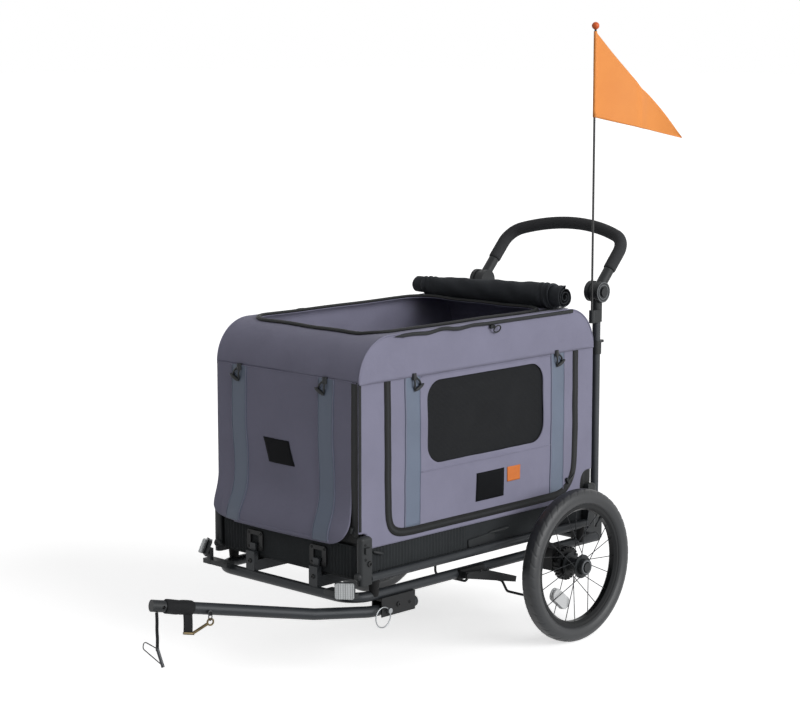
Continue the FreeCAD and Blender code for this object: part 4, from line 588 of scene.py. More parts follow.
def flap_edge(z, corner):
    """Half the flap's width at a height: straight, and round at its lower corner."""
    drop = np.clip(1 - (z - HEM_Z) / corner, 0, 1)
    return FLAP_Y - corner * (1 - np.sqrt(1 - drop ** 2)) * 0.98


def on_rear(y, z, lift=0.0):
    """Places on the rear cloth face, lifted off it."""
    across = np.clip(1 - (y / HALF_Y) ** 4, 0, 1)
    up = np.sin(np.pi * np.clip((z - HEM_Z) / (SEAM_Z - HEM_Z), 0, 1))
    ripple = np.sin(29 * y + 17 * z) + 0.6 * np.sin(51 * z + 18 * y + 1.0)
    puff = 0.004 * across * up + 0.0009 * ripple * across * up
    return at(REAR_X + CLOTH_INSET - puff - lift, y, z)


QUARTER = ARC * np.pi / 2
ROOF_RUN = 2 * QUARTER + (FRONT_X - REAR_X - 2 * ARC)


def roof_run(x):
    """The run along the roof's outline, from the front seam, of a place given by its X on top."""
    ahead = np.arcsin(np.clip((x - (FRONT_X - ARC)) / ARC, 0, 1))
    return np.where(x > FRONT_X - ARC, QUARTER - ARC * ahead, QUARTER + FRONT_X - ARC - x)


def on_roof(run, y, lift=0.0):
    """Places on the roof: up a quarter circle in front, along the top, down one at the rear."""
    ahead = np.clip(run / ARC, 0, np.pi / 2)
    behind = np.clip((run - (ROOF_RUN - QUARTER)) / ARC, 0, np.pi / 2)
    along = np.clip(run - QUARTER, 0, FRONT_X - REAR_X - 2 * ARC)
    across = np.clip(1 - (y / HALF_Y) ** 4, 0, 1)
    ripple = 0.0012 * (np.sin(23 * run + 9 * y) + 0.6 * np.sin(37 * y - 14 * run)) * across
    out = ARC - CLOTH_INSET + ripple + lift
    x = FRONT_X - ARC - along + out * np.cos(ahead) - out * np.sin(behind)
    up = np.where(run < QUARTER, np.sin(ahead), np.cos(behind))
    return at(x, y, SEAM_Z + out * up)


def polar(outline, centre, angles):
    """How far a plane outline lies from a centre in each direction, read between its points."""
    line = eased(outline, 0.002, rounds=0, closed=True) - centre
    turn = np.arctan2(line[:, 1], line[:, 0])
    order = np.argsort(turn)
    reach = np.linalg.norm(line, axis=1)
    return np.interp(angles, turn[order], reach[order], period=2 * np.pi)


def framed_sheet(outer, inner, centre, rows):
    """A flat sheet with a hole: rays from the hole's outline to the outer outline, in rows."""
    centre = np.asarray(centre)
    corners = np.asarray(outer) - centre
    angles = np.sort(np.concatenate([np.linspace(-np.pi, np.pi, 420, endpoint=False),
                                     np.arctan2(corners[:, 1], corners[:, 0])]))
    far, near = polar(outer, centre, angles), polar(inner, centre, angles)
    share = np.linspace(0, 1, rows)[:, None]
    reach = near + (far - near) * share
    return centre + np.stack([reach * np.cos(angles), reach * np.sin(angles)], -1)


def closed_uv(flat):
    """The UV of a ring of plane points: the points themselves, with the first column again."""
    return np.concatenate([flat, flat[:, :1]], 1)


def window_outline(grow=0.0):
    """The side window's outline in X and Z, grown outward."""
    wide, high = WINDOW_X[1] - WINDOW_X[0], WINDOW_Z[1] - WINDOW_Z[0]
    flat = rounded_outline(wide + 2 * grow, high + 2 * grow, WINDOW_CORNER + grow, 10)
    return flat + [(WINDOW_X[0] + WINDOW_X[1]) / 2, (WINDOW_Z[0] + WINDOW_Z[1]) / 2]


def side_outline():
    """The side cloth's outline in X and Z, arched over the posts at its two lower corners.

    Each arch goes as the square roots of a quarter turn's sine and cosine.
    """
    front_arch, rear_arch = (0.0325, 0.0305 + SIDE_DROP), (0.048, 0.074)
    low = HEM_Z - SIDE_DROP
    turn = np.linspace(0, np.pi / 2, 12)
    climb, fall = np.sqrt(np.sin(turn)), np.sqrt(np.cos(turn))
    front = np.stack([FRONT_X - front_arch[0] * fall, low + front_arch[1] * climb], -1)
    rear = np.stack([REAR_X + rear_arch[0] * climb, low + rear_arch[1] * fall], -1)
    return np.vstack([front, [[FRONT_X, SEAM_Z], [REAR_X, SEAM_Z]], rear])


def roof_hole(grow=0.0):
    """The roof opening's outline, as runs along the roof and widths across it."""
    run = roof_run(np.array(OPENING_X))
    flat = rounded_outline(run[1] - run[0] + 2 * grow, OPENING_WIDTH + 2 * grow,
                           OPENING_CORNER + grow, 12)
    return flat + [run.mean(), 0]


class TrailerColours(bpy.types.PropertyGroup):
    """Colours that a user would change."""
    cloth: FloatVectorProperty(name="Cloth", description="Main colour of the cabin cloth",
                               subtype="COLOR", default=linear("#86859A"), min=0, max=1)
    strap: FloatVectorProperty(name="Straps", description="Colour of the webbing on the cabin",
                               subtype="COLOR", default=linear("#657083"), min=0, max=1)
    flag: FloatVectorProperty(name="Flag", description="Colour of the safety flag",
                              subtype="COLOR", default=linear("#FF9C4C"), min=0, max=1)


class TrailerTrim(bpy.types.PropertyGroup):
    """Sizes of the sewn trim."""
    strap_width: FloatProperty(name="Strap width", description="Width of the cabin's webbing",
                               default=0.056, unit="LENGTH", min=0.01, max=0.1)
    zip_width: FloatProperty(name="Zip width", description="Width of the zip tapes",
                             default=0.021, unit="LENGTH", min=0.006, max=0.04)
    edge_width: FloatProperty(name="Roof edge", description="Width of the zip round the roof opening",
                              default=0.013, unit="LENGTH", min=0.006, max=0.03)
    tread_depth: FloatProperty(name="Tread depth", description="Depth of the tyre's tread grooves",
                               default=0.0014, unit="LENGTH", min=0, max=0.004)


class TrailerStage(bpy.types.PropertyGroup):
    """Camera and light."""
    eye: FloatVectorProperty(name="Camera", description="Place of the camera", subtype="TRANSLATION",
                             unit="LENGTH", default=(3.9109, 3.8153, 1.5703))
    target: FloatVectorProperty(name="Target", description="Point that the camera looks at",
                                subtype="TRANSLATION", unit="LENGTH", default=(-0.1021, -0.066, 0.7269))
    lens: FloatProperty(name="Lens", description="Focal length on a 36 mm sensor, in millimetres",
                        default=97.11, min=10, max=300)
    key: FloatProperty(name="Key light", description="Strength of the soft key light",
                       default=2.5, min=0)
    fill: FloatProperty(name="Fill light", description="Strength of the even light from all round",
                        default=0.28, min=0)


class TRAILER_OT_stage(bpy.types.Operator):
    """Set the camera, the soft light and the pale floor"""
    bl_idname = "trailer.stage"
    bl_label = "Stage"

    def execute(self, context):
        look = context.scene.trailer_stage
        camera = linked("camera", bpy.data.cameras.new("camera"))
        camera.data.lens, camera.data.sensor_width = look.lens, 36.0
        camera.location = look.eye
        toward = Vector(look.target) - Vector(look.eye)
        camera.rotation_euler = toward.to_track_quat("-Z", "Y").to_euler()
        context.scene.camera = camera
        context.scene.view_settings.view_transform = "Standard"

        key = linked("key", bpy.data.lights.new("key", "SUN"))
        softness, shining = np.radians(50), Vector((0.15, -0.95, -0.25))
        key.data.energy, key.data.angle = look.key, softness
        key.rotation_euler = shining.to_track_quat("-Z", "Y").to_euler()

        world = bpy.data.worlds.new("studio")
        context.scene.world = world
        world.use_nodes = True
        tree = world.node_tree
        tree.nodes.clear()
        seen = self.seen_rays(tree)
        even = node(tree, "ShaderNodeBackground", {"Color": (1, 1, 1, 1), "Strength": look.fill})
        white = node(tree, "ShaderNodeBackground", {"Color": (1, 1, 1, 1), "Strength": 1.0})
        both = node(tree, "ShaderNodeMixShader", {0: seen, 1: even.outputs[0], 2: white.outputs[0]})
        node(tree, "ShaderNodeOutputWorld", {"Surface": both.outputs[0]})
        self.floor()
        return {"FINISHED"}

    def floor(self):
        """One wide square on the ground, matt, that shows white where it isn't in shadow."""
        reach, grey, bright, glow_strength = 60.0, (0.45, 0.45, 0.45, 1), (1.2, 1.2, 1.2, 1), 0.59
        mesh = bpy.data.meshes.new("floor")
        corners = [(-reach, -reach, 0), (reach, -reach, 0), (reach, reach, 0), (-reach, reach, 0)]
        mesh.from_pydata(corners, [], [(0, 1, 2, 3)])
        # Matt studio floor: it takes the shadow, and shows white to the eye and in reflections
        material, tree = new_material("matt_studio_floor")
        seen = self.seen_rays(tree)
        tone = node(tree, "ShaderNodeMix", {0: seen, 6: grey, 7: bright}, data_type="RGBA")
        matt = node(tree, "ShaderNodeBsdfDiffuse", {"Color": tone.outputs[2]})
        lift = node(tree, "ShaderNodeMath", {0: seen, 1: glow_strength}, operation="MULTIPLY")
        glow = node(tree, "ShaderNodeEmission", {"Color": (1, 1, 1, 1), "Strength": lift.outputs[0]})
        both = node(tree, "ShaderNodeAddShader", {0: matt.outputs[0], 1: glow.outputs[0]})
        node(tree, "ShaderNodeOutputMaterial", {"Surface": both.outputs[0]})
        mesh.materials.append(material)
        linked("floor", mesh)

    @staticmethod
    def seen_rays(tree):
        """One for rays from the camera, in reflections and through clear pieces, else nought."""
        rays = node(tree, "ShaderNodeLightPath").outputs
        first = node(tree, "ShaderNodeMath", {0: rays["Is Camera Ray"], 1: rays["Is Glossy Ray"]},
                     operation="MAXIMUM")
        return node(tree, "ShaderNodeMath", {0: first.outputs[0], 1: rays["Is Transmission Ray"]},
                    operation="MAXIMUM").outputs[0]


class TRAILER_OT_lanyard(bpy.types.Operator):
    """Hang the hitch pin's lanyard from the drawbar head"""
    bl_idname = "trailer.lanyard"
    bl_label = "Lanyard"

    def execute(self, context):
        bends = np.array([(1.1842, 0.101, 0.2577), (1.1837, 0.1016, 0.2397), (1.1853, 0.102, 0.2157),
                          (1.1831, 0.1015, 0.1937), (1.184, 0.101, 0.1767)])
        route = at(*bends.T)
        curve = bpy.data.curves.new("lanyard_cord", "CURVE")
        curve.dimensions = "3D"
        curve.bevel_depth, curve.bevel_resolution, curve.resolution_u = 0.00375, 4, 16
        curve.use_fill_caps = True
        spline = curve.splines.new("NURBS")
        spline.points.add(len(route) - 1)
        spline.points.foreach_set("co", np.column_stack([route, np.ones(len(route))]).ravel())
        spline.order_u = 3
        spline.use_endpoint_u = True
        curve.materials.append(FINISHES["webbing"])
        made = linked("lanyard_cord", curve)
        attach(made, "chassis")
        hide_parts("lanyard")
        return {"FINISHED"}


class TRAILER_OT_cabin_cloth(bpy.types.Operator):
    """Sew the cabin's sides, front, rear and roof"""
    bl_idname = "trailer.cabin_cloth"
    bl_label = "Cabin cloth"

    def execute(self, context):
        self.sides()
        self.ends()
        self.roof()
        return {"FINISHED"}

    @staticmethod
    def cloth(name, parts, stands_for):
        """A cloth piece of the cabin, with a mesh of its own."""
        return piece(name, parts, ["cloth"], stands_for=[stands_for],
                     wall=CLOTH_WALL, folds=True)

    def sides(self):
        """The left and right cloth: a flat sheet with the window cut out, laid on the side face."""
        middle = [sum(WINDOW_X) / 2, sum(WINDOW_Z) / 2]
        flat = framed_sheet(side_outline(), window_outline(), middle, 44)
        for side, name in NAMED_SIDES:
            part = grid(on_side(side, flat[..., 0], flat[..., 1]), closed_uv(flat), (False, True))
            made = self.cloth(name + "_side_cloth", [part], name + "_side_panel")

    def ends(self):
        """The front flap and the rear cloth: shares of the width at each height.

        The flap's right edge laps over the post, with a bell-shaped bulge, and its corner is lifted.
        """
        high, below = SEAM_Z - HEM_Z, 0.002
        left_corner, right_corner = 0.060, 0.026
        share, height = np.meshgrid(np.linspace(-1, 1, 130), np.linspace(0, 1, 100), indexing="ij")
        z = HEM_Z - below + (high + below) * height
        bulge = 0.0100 * np.exp(-((z - 0.372) / 0.050) ** 2)
        right = flap_edge(z, right_corner) + FLAP_OVERLAP + bulge
        y = share * np.where(share > 0, flap_edge(z, left_corner), right)
        z = z + 0.007 * np.clip(-share, 0, 1) ** 2 * (1 - height) ** 3
        made = self.cloth("front_flap", [grid(on_flap(y, z), np.stack([y, z], -1))], "front_panel")
        y = share * np.where(z < HEM_Z + 0.024, HALF_Y - 0.0135, HALF_Y - 0.0045)
        made = self.cloth("rear_cloth", [grid(on_rear(y, z), np.stack([y, z], -1))], "rear_panel")

    def roof(self):
        """The roof: a curved top with a hole, closed at both sides by flat rounded ends."""
        outer = np.array([[0, -HALF_Y], [ROOF_RUN, -HALF_Y], [ROOF_RUN, HALF_Y], [0, HALF_Y]])
        outer = outer * [1, (HALF_Y - ROOF_END_INSET) / HALF_Y]
        inner = roof_hole()
        flat = framed_sheet(outer, inner, inner.mean(0), 26)
        parts = [grid(on_roof(flat[..., 0], flat[..., 1]), closed_uv(flat), (False, True))]
        bend = 24
        out = ARC - CLOTH_INSET
        turn = np.concatenate([np.linspace(np.pi / 2, 0, bend), np.linspace(0, -np.pi / 2, bend)])
        end_x = np.repeat([FRONT_X - ARC, REAR_X + ARC], bend) + out * np.sin(turn)
        end_z = SEAM_Z + out * np.cos(turn)
        inside = np.linspace(FRONT_X - ARC, REAR_X + ARC, 60)[1:-1]
        x = np.concatenate([end_x[:bend], inside, end_x[bend:]])
        level = np.full(len(inside), TOP_Z - CLOTH_INSET)
        top = np.concatenate([end_z[:bend], level, end_z[bend:]])
        share = np.linspace(0, 1, 16)
        low = SEAM_Z - 0.006
        z = low + (top[:, None] - low) * share
        x = np.broadcast_to(x[:, None], z.shape)
        rise = np.sqrt(np.clip((top - SEAM_Z) / ARC, 0, 1))
        swell = 0.003 * np.sin(np.pi * share) * rise[:, None]
        folds = 0.0011 * np.sin(42 * x + 55 * z) * np.sin(np.pi * share)
        skirt = 0.0032 * (1 - share) ** 2
        for side in SIDES:
            y = side * (HALF_Y - ROOF_END_INSET + swell + folds + skirt)
            parts.append(grid(at(x, y, z), np.stack([x, z], -1)))
        made = self.cloth("roof_cloth", parts, "roof_cap")


class TRAILER_OT_cabin_mesh(bpy.types.Operator):
    """Set the window meshes and lay the rolled-up roof mesh"""
    bl_idname = "trailer.cabin_mesh"
    bl_label = "Window and roof mesh"

    def execute(self, context):
        self.windows()
        self.roll()
        return {"FINISHED"}

    @staticmethod
    def windows():
        """Both window meshes: the window's outline drawn in to its middle, sagging inward."""
        middle = np.array([sum(WINDOW_X) / 2, sum(WINDOW_Z) / 2])
        outline = window_outline(0.003)
        share = np.linspace(0, 1, 26)[:, None, None]
        flat = middle + (outline - middle)[None] * share
        sag = -0.003 - 0.0012 * np.sin(30 * flat[..., 0]) * (1 - share[..., 0] ** 2)
        parts = [grid(on_side(side, flat[..., 0], flat[..., 1], sag), closed_uv(flat), (False, True))
                 for side in SIDES]
        made = piece("window_mesh", parts, ["mesh"], stands_for=["window_meshes"],
                     wall=0.001, folds=True)

    @staticmethod
    def roll():
        """The rolled-up roof mesh: a tight spiral core and one looser outer turn.

        The core's reach grows with the turns, the outer turn steps out and is narrower, its ends
        are ruffled, and the whole roll tapers toward the right.
        """
        low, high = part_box("roof_mesh_roll")
        middle_x, radius, half = (low.x + high.x) / 2, (high.z - low.z) / 2, high.y
        core_end, outer_start, step = 0.66, 0.68, 0.05
        turns = np.linspace(0, 4.25, 300)
        share = turns / turns[-1]
        outer = np.clip((share - outer_start) / step, 0, 1)
        angle = turns * 2 * np.pi + 0.75 * np.pi
        reach = 0.006 + (radius - 0.0115) * np.clip(share / core_end, 0, 1) + 0.0042 * outer
        wide = np.linspace(-1, 1, 130)
        y = wide[None] * (half + 0.002 - 0.034 * outer[:, None])
        round_on = angle[:, None]
        crumple = 0.0012 * np.sin(4 * round_on + 46 * y) + 0.0008 * np.sin(110 * y + 3 * round_on)
        ends = np.exp(-((1 - np.abs(wide)) / 0.16) ** 2)[None]
        waves = 0.0032 * np.sin(2 * np.pi * y / 0.019 + 2 * round_on) - 0.0015
        ruffle = waves * ends * outer[:, None]
        taper = (0.87 + 0.13 * wide)[None]
        grown = (reach[:, None] + crumple * share[:, None] + ruffle) * taper
        x = middle_x + grown * np.cos(round_on)
        z = low.z + radius * taper + grown * np.sin(round_on)
        steps = np.diff(np.stack([reach * np.cos(angle), reach * np.sin(angle)]), axis=1)
        run = np.cumsum(np.concatenate([[0], np.hypot(*steps)]))
        uv = np.stack(np.broadcast_arrays(run[:, None], y), -1)
        made = piece("roof_mesh_rolled", [grid(np.stack([x, y, z], -1), uv)], ["rolled_mesh"],
                     stands_for=["roof_mesh_roll"], wall=0.0022, folds=True)


def strip(places, parts, lines, width, lift, columns=3, crown=0.0):
    """Lay ribbons along plane lines on a cloth face; a crown raises the middle of each."""
    for line in lines:
        flat, uv = band(line, width, columns)
        raised = lift + crown * (1 - (uv[..., 1] / (width / 2)) ** 2)
        parts.append(grid(places(flat[..., 0], flat[..., 1], raised), uv))


class TRAILER_OT_cabin_trim(bpy.types.Operator):
    """Sew on the zips, webbing, seams, toggles and bare labels"""
    bl_idname = "trailer.cabin_trim"
    bl_label = "Cabin trim"

    def execute(self, context):
        trim = context.scene.trailer_trim
        zips, straps, seams = [], [], []
        for side in SIDES:
            self.side(side, trim, zips, straps, seams)
        self.front(trim, zips, straps, seams)
        self.roof_zips(trim, zips)
        piece("zips", zips, ["zip"], wall=TRIM_WALL, folds=True)
        piece("webbing_straps", straps, ["strap"], wall=TRIM_WALL, folds=True)
        piece("sewn_seams", seams, ["cloth"], wall=0.001, folds=True)
        self.labels()
        self.toggles()
        self.piping()
        self.pulls()
        return {"FINISHED"}

    @staticmethod
    def side(side, trim, zips, straps, seams):
        """The door zip of one side, its two straps with their stitching, seams and rear lining."""
        face = partial(on_side, side)
        door = [(0.587, ZIP_TOP), (0.587, 0.60), (0.587, 0.46), (0.583, 0.388), (0.558, 0.362),
                (0.50, 0.358), (0.45, 0.359), (0.2, 0.359), (0.0, 0.360), (-0.070, 0.362),
                (-0.112, 0.400), (-0.119, 0.47), (-0.119, 0.60), (-0.119, 0.745)]
        strip(face, zips, [eased(door, 0.005, 3)], trim.zip_width, TRIM_LIFT, 7, 0.0012)
        for x in (0.500, -0.046):
            line = eased([(x, STRAP_TOP), (x, 0.55), (x, 0.369)], 0.008, 1)
            strip(face, straps, [line], trim.strap_width, TRIM_LIFT, 9)
            edges = [x + share * trim.strap_width / 2 for share in (-0.93, 0.93)]
            lines = [eased([(edge, STRAP_TOP), (edge, 0.37)], 0.01, 0) for edge in edges]
            strip(face, seams, lines, STITCH_WIDTH, STITCH_LIFT)
        lines = [eased([(0.470, z), (-0.018, z)], 0.01, 0) for z in (0.735, 0.500)]
        top = SEAM_Z - 0.003
        lines.append(eased([(FRONT_X - 0.004, top), (REAR_X + 0.004, top)], 0.01, 0))
        strip(face, seams, lines, 0.0022, SEAM_LIFT)
        lining_x = REAR_X + 0.028
        line = eased([(lining_x, 0.425), (lining_x, HEM_Z - SIDE_DROP)], 0.008, 0)
        strip(face, zips, [line], 0.052, -0.0026, 7)

    @staticmethod
    def front(trim, zips, straps, seams):
        """The flap's zip, the linings behind it, its two straps and the front and rear seams."""
        line = eased([(0.2395, ZIP_TOP), (0.2395, 0.372)], 0.005, 0)
        strip(on_front, zips, [line], 0.0215, 0.0019, 7, 0.001)
        edge = FRONT_X - 0.0046
        for side in SIDES:
            line = eased([(edge, ZIP_TOP), (edge, 0.384)], 0.005, 0)
            strip(partial(on_side, side), zips, [line], 0.0085, TRIM_LIFT)
            line = eased([(side * 0.2085, 0.455), (side * 0.2085, HEM_Z + 0.0005)], 0.01, 0)
            strip(on_front, zips, [line], 0.078, -0.0012, 9)

        def on_hem(y, z, lift):
            """Places on the flap, kept above its hem, which rises toward the right."""
            return on_flap(y, np.maximum(z, HEM_Z + 0.002 + np.where(y < 0, 0.10 * y ** 2, 0)), lift)

        heights = (0.62, 0.52, 0.44, 0.385, 0.338)
        for y, drift in ((-0.168, (-0.002, 0.008, 0.009, -0.004, -0.014)),
                         (0.1435, (-0.002, 0.003, 0.006, -0.001, -0.006))):
            line = eased([(y, STRAP_TOP)] + [(y + d, z) for d, z in zip(drift, heights)], 0.006, 2)
            strip(on_hem, straps, [line], trim.strap_width, TRIM_LIFT, 9)
            lines = [line + [share * trim.strap_width, 0] for share in (-0.465, 0.465)]
            strip(on_hem, seams, lines, STITCH_WIDTH, STITCH_LIFT)
        for places in (on_front, on_rear):
            line = eased([(-0.245, SEAM_Z - 0.002), (0.245, SEAM_Z - 0.002)], 0.01, 0)
            strip(places, seams, [line], 0.0026, SEAM_LIFT)
        for places, half in ((on_flap, 0.17), (on_rear, 0.232)):
            line = eased([(-half, HEM_Z + 0.004), (half, HEM_Z + 0.004)], 0.01, 0)
            strip(places, seams, [line], 0.009, 0.0018)

    @staticmethod
    def roof_zips(trim, zips):
        """The zip round the opening, its two tails, and the loose tape below each roof edge.

        The zip is a bead: highest along its middle and falling off with the square across it. The
        loose tape follows a sine in height that dies away to both ends, and narrows to the front.
        """
        loop = eased(roof_hole(trim.edge_width / 2 - 0.003), 0.006, 1, closed=True)
        strip(on_roof, zips, [loop], trim.edge_width, 0.0025, 7, 0.0055)
        tail = np.linspace(float(roof_run(np.array(0.02))), float(roof_run(np.array(-0.112))), 40)
        tape = 0.009
        x = np.linspace(0.565, -0.100, 200)
        loose = np.exp(-(((x - 0.39) / 0.11) ** 2))
        z = TOP_Z - 0.0062 + 0.0030 * np.sin(52 * x) * loose
        width = tape * np.clip((0.566 - x) / 0.03, 0.08, 1)
        middle = np.stack([x, z], -1)
        for side in SIDES:
            line = np.stack([tail, np.full(40, side * 0.2235)], -1)
            strip(on_roof, zips, [line], trim.edge_width, 0.0024, 5)
            flat, uv = band(middle, tape, 7)
            flat = flat + (middle[:, None] - flat) * (1 - width / tape)[:, None, None]
            out = HALF_Y + 0.0046 + 0.0018 * np.cos(uv[..., 1] / (tape / 2) * np.pi / 2)
            out = out + 0.0016 * np.cos(52 * x)[:, None] * loose[:, None]
            zips.append(grid(at(flat[..., 0], side * out, flat[..., 1]), uv))

    @staticmethod
    def labels():
        """Bare patches: even grids between two corners, laid on the left side and on the flap."""
        def on_slant(y, z, lift):
            """Places on the flap, moved sideways in step with the height."""
            return on_flap(y + 0.37 * (0.545 - z), z, lift)

        left, parts = partial(on_side, 1), []
        for places, low, high, lift, finish in (
                (left, (0.165, 0.394), (0.271, 0.467), 0.0022, 0),
                (left, (0.103, 0.428), (0.152, 0.466), 0.0024, 1),
                (on_slant, (-0.0665, 0.515), (0.0265, 0.575), 0.0022, 0)):
            a, b = np.meshgrid(np.linspace(low[0], high[0], 14), np.linspace(low[1], high[1], 12),
                               indexing="ij")
            parts.append(grid(places(a, b, lift), np.stack([a, b], -1), finish=finish))
        piece("bare_labels", parts, ["label", "patch"], wall=TRIM_WALL, folds=True)

    @staticmethod
    def toggles():
        """Each toggle: two cords falling together from the seam, and a bar through their loop.

        The cords bow out by half a sine, and the bar's radius is nearly that of an ellipsoid.
        """
        parts = []
        left, right = partial(on_side, 1), partial(on_side, -1)
        spots = [(left, (0, 1, 0), 0.482), (left, (0, 1, 0), -0.0535), (right, (0, -1, 0), 0.482),
                 (right, (0, -1, 0), -0.0535), (on_front, (1, 0, 0), -0.181),
                 (on_front, (1, 0, 0), 0.1255)]
        offset = 0.017
        t = np.linspace(0, 1, 12)
        bar = np.linspace(-1, 1, 11)
        bar_radii = 0.0048 * np.sqrt(np.clip(1.06 - bar ** 2, 0.05, 1))
        for place, normal, along in spots:
            for leg in (-1, 1):
                ends = offset + (0.004 + 0.010 * leg - offset) * t
                line = place(along + ends + 0.003 * leg * np.sin(np.pi * t),
                             ZIP_TOP - (0.030 + 0.004 * leg) * t, 0.004 + 0.006 * np.sin(np.pi * t))
                parts.append(tube(line, 0.0024, normal, 8))
            line = place(along + 0.0165 * bar, 0.7120 - 0.0075 * bar, 0.007)
            parts.append(tube(line, bar_radii, normal, 12))
            tab = place(np.full(6, along + offset), np.linspace(0.748, 0.732, 6), 0.0058)
            parts.append(tube(tab, 0.0065, normal, 8))
        piece("toggles", parts, ["plastic"], closed=True, folds=True)

    @staticmethod
    def piping():
        """A thin sewn bead where the roof's top meets its two sides."""
        run = np.linspace(0, ROOF_RUN, 150)
        lines = [on_roof(run, np.full(150, side * (HALF_Y + 0.0002))) for side in SIDES]
        beads = [tube(line, 0.0021, (0, 1, 0), 8) for line in lines]
        piece("roof_piping", beads, ["cloth"], closed=True, folds=True)

    @staticmethod
    def pulls():
        """The zips' sliders and pulls: small blocks, a wire ring on the roof and a cord on the door."""
        parts = []
        corner, edge = 0.003, 0.0015
        turn = np.linspace(0, 2 * np.pi, 20, endpoint=False)
        for side in SIDES:
            out = (0, side, 0)
            centre = at(0.205, side * (HALF_Y + 0.012), TOP_Z - 0.022)
            ring = np.stack([0.012 * np.cos(turn), 0.003 * np.sin(turn) * side,
                             0.009 * np.sin(turn)], -1)
            wire = centre + np.concatenate([ring, ring[:2]])
            parts.append(tube(wire, 0.0019, (0, 1, 0.2), 8))
            slider = at(0.218, side * (HALF_Y + 0.004), TOP_Z - 0.0155)
            parts.append(block(slider, ((1, 0, 0), (0, 0, 1), out), (0.016, 0.009, 0.006),
                               corner, edge))
            slider = at(-0.088, side * (HALF_Y + 0.001), 0.394)
            parts.append(block(slider, ((0.6, 0, 0.8), (-0.8, 0, 0.6), out), (0.018, 0.009, 0.007),
                               corner, edge))
            cord = slider + np.array([(0, side * 0.006, 0), (-0.008, side * 0.009, 0.006),
                                      (-0.02, side * 0.008, 0.016)])
            parts.append(tube(eased(cord, 0.004, 2), 0.0024, (0, 1, 0), 8))
            slider = on_front(np.array([side * 0.232]), np.array([0.386]), 0.002)[0]
            parts.append(block(slider, ((0, 0.3, 1), (0, 1, -0.3), (1, 0, 0)), (0.016, 0.008, 0.006),
                               corner, edge))
        piece("zip_pulls", parts, ["plastic"], closed=True, folds=True)


class TRAILER_OT_base(bpy.types.Operator):
    """Wrap the base in its pleated band and lay the floor mat"""
    bl_idname = "trailer.base"
    bl_label = "Base band and mat"

    def execute(self, context):
        self.band()
        self.mat()
        return {"FINISHED"}

    @staticmethod
    def band():
        """The tray's outline carried up its height, pushed out in rows.

        Cosine pleats stand out on the front's ends and on the front of both sides, a slow ripple
        runs all round, and the upper edge turns out into a lip.
        """
        step, pitch, foot = 0.0022, 0.011, 0.003
        wide, deep = TRAY_X[1] - TRAY_X[0], 2 * TRAY_Y
        centre = np.array([sum(TRAY_X) / 2, 0])
        ring = eased(rounded_outline(wide, deep, 0.016, 8) + centre, step, 0, closed=True)[:-1]
        ahead = np.roll(ring, -1, 0) - np.roll(ring, 1, 0)
        out = np.stack([ahead[:, 1], -ahead[:, 0]], -1)
        out /= np.linalg.norm(out, axis=1, keepdims=True)
        run = np.arange(len(ring)) * step
        in_front = ring[:, 0] > TRAY_X[1] - 0.002
        pleated = (in_front & (np.abs(ring[:, 1]) > 0.150)) | ((ring[:, 0] > 0.300) & ~in_front)
        pleats = np.where(pleated, 0.0016 * np.clip(np.cos(2 * np.pi * run / pitch), -0.4, 1), 0.0)
        rows = np.array([0.0, 0.03, 0.12, 0.3, 0.5, 0.7, 0.85, 0.94, 0.98, 1.0])
        lift = np.array([0.0006, 0.0016, 0.0018, 0.002, 0.002, 0.002, 0.002, 0.0018, 0.0045, 0.0085])
        calm = np.array([0, 0.6, 1, 1, 1, 1, 1, 0.6, 0, 0])
        ripple = 0.0006 * np.sin(70 * run)[None] * np.sin(np.pi * rows)[:, None]
        lip = np.repeat(lift[:, None], len(ring), 1)
        lip[-2:] = np.where(in_front, lip[-2:], 0.0028)
        push = lip + calm[:, None] * pleats[None] + ripple
        plane = ring[None] + out[None] * push[..., None]
        levels = TRAY_Z[0] + foot + (TRAY_Z[1] + 0.0005 - TRAY_Z[0] - foot) * rows
        z = np.broadcast_to(levels[:, None], plane.shape[:2])
        uv = np.stack(np.broadcast_arrays(np.append(run, run[-1] + step)[None],
                                          (rows * 0.084)[:, None]), -1)
        part = grid(at(plane[..., 0], plane[..., 1], z), uv, (False, True))
        made = piece("base_band", [part], ["band"], wall=0.0014)

    @staticmethod
    def mat():
        """A quilted pad: a rounded outline drawn in at its edges, crowned, with sewn channels."""
        pitch, half_channel, sewn_depth = 0.14, 0.006, 0.006
        wide, deep, thick = MAT_X[1] - MAT_X[0], 2 * MAT_Y, MAT_Z[1] - MAT_Z[0]
        middle = sum(MAT_X) / 2
        outline = eased(rounded_outline(wide, deep, 0.03, 8), 0.006, 0, closed=True)[:-1]
        levels = [(0.0, 0.0), (0.3, 0.0), (0.6, 0.0), (0.85, 0.0), (0.985, 0.02), (1.0, 0.35),
                  (0.99, 0.7), (0.97, 0.92), (0.94, 0.92)]
        share, height = np.array(levels + [(s, 1.0) for s in np.linspace(0.91, 0.0, 34)]).T[..., None]
        x, y = middle + outline[:, 0] * share, outline[:, 1] * share
        channel = np.exp(-((((x - middle + pitch / 2) % pitch) - pitch / 2) / half_channel) ** 2)
        crown = np.clip(1 - share ** 6, 0, 1)
        on_top = height > 0.9
        sewn = np.where(on_top, sewn_depth * channel, 0.0) * crown
        rise = height - np.where(on_top, 0.1 * (1 - crown), 0)
        z = MAT_Z[0] + 0.0004 + (thick - 0.001) * rise - sewn
        made = piece("quilted_mat", [grid(at(x, y, z), wrap=(False, True))], ["mat"],
                     stands_for=["floor_mat"], closed=True, sharp=80.0)


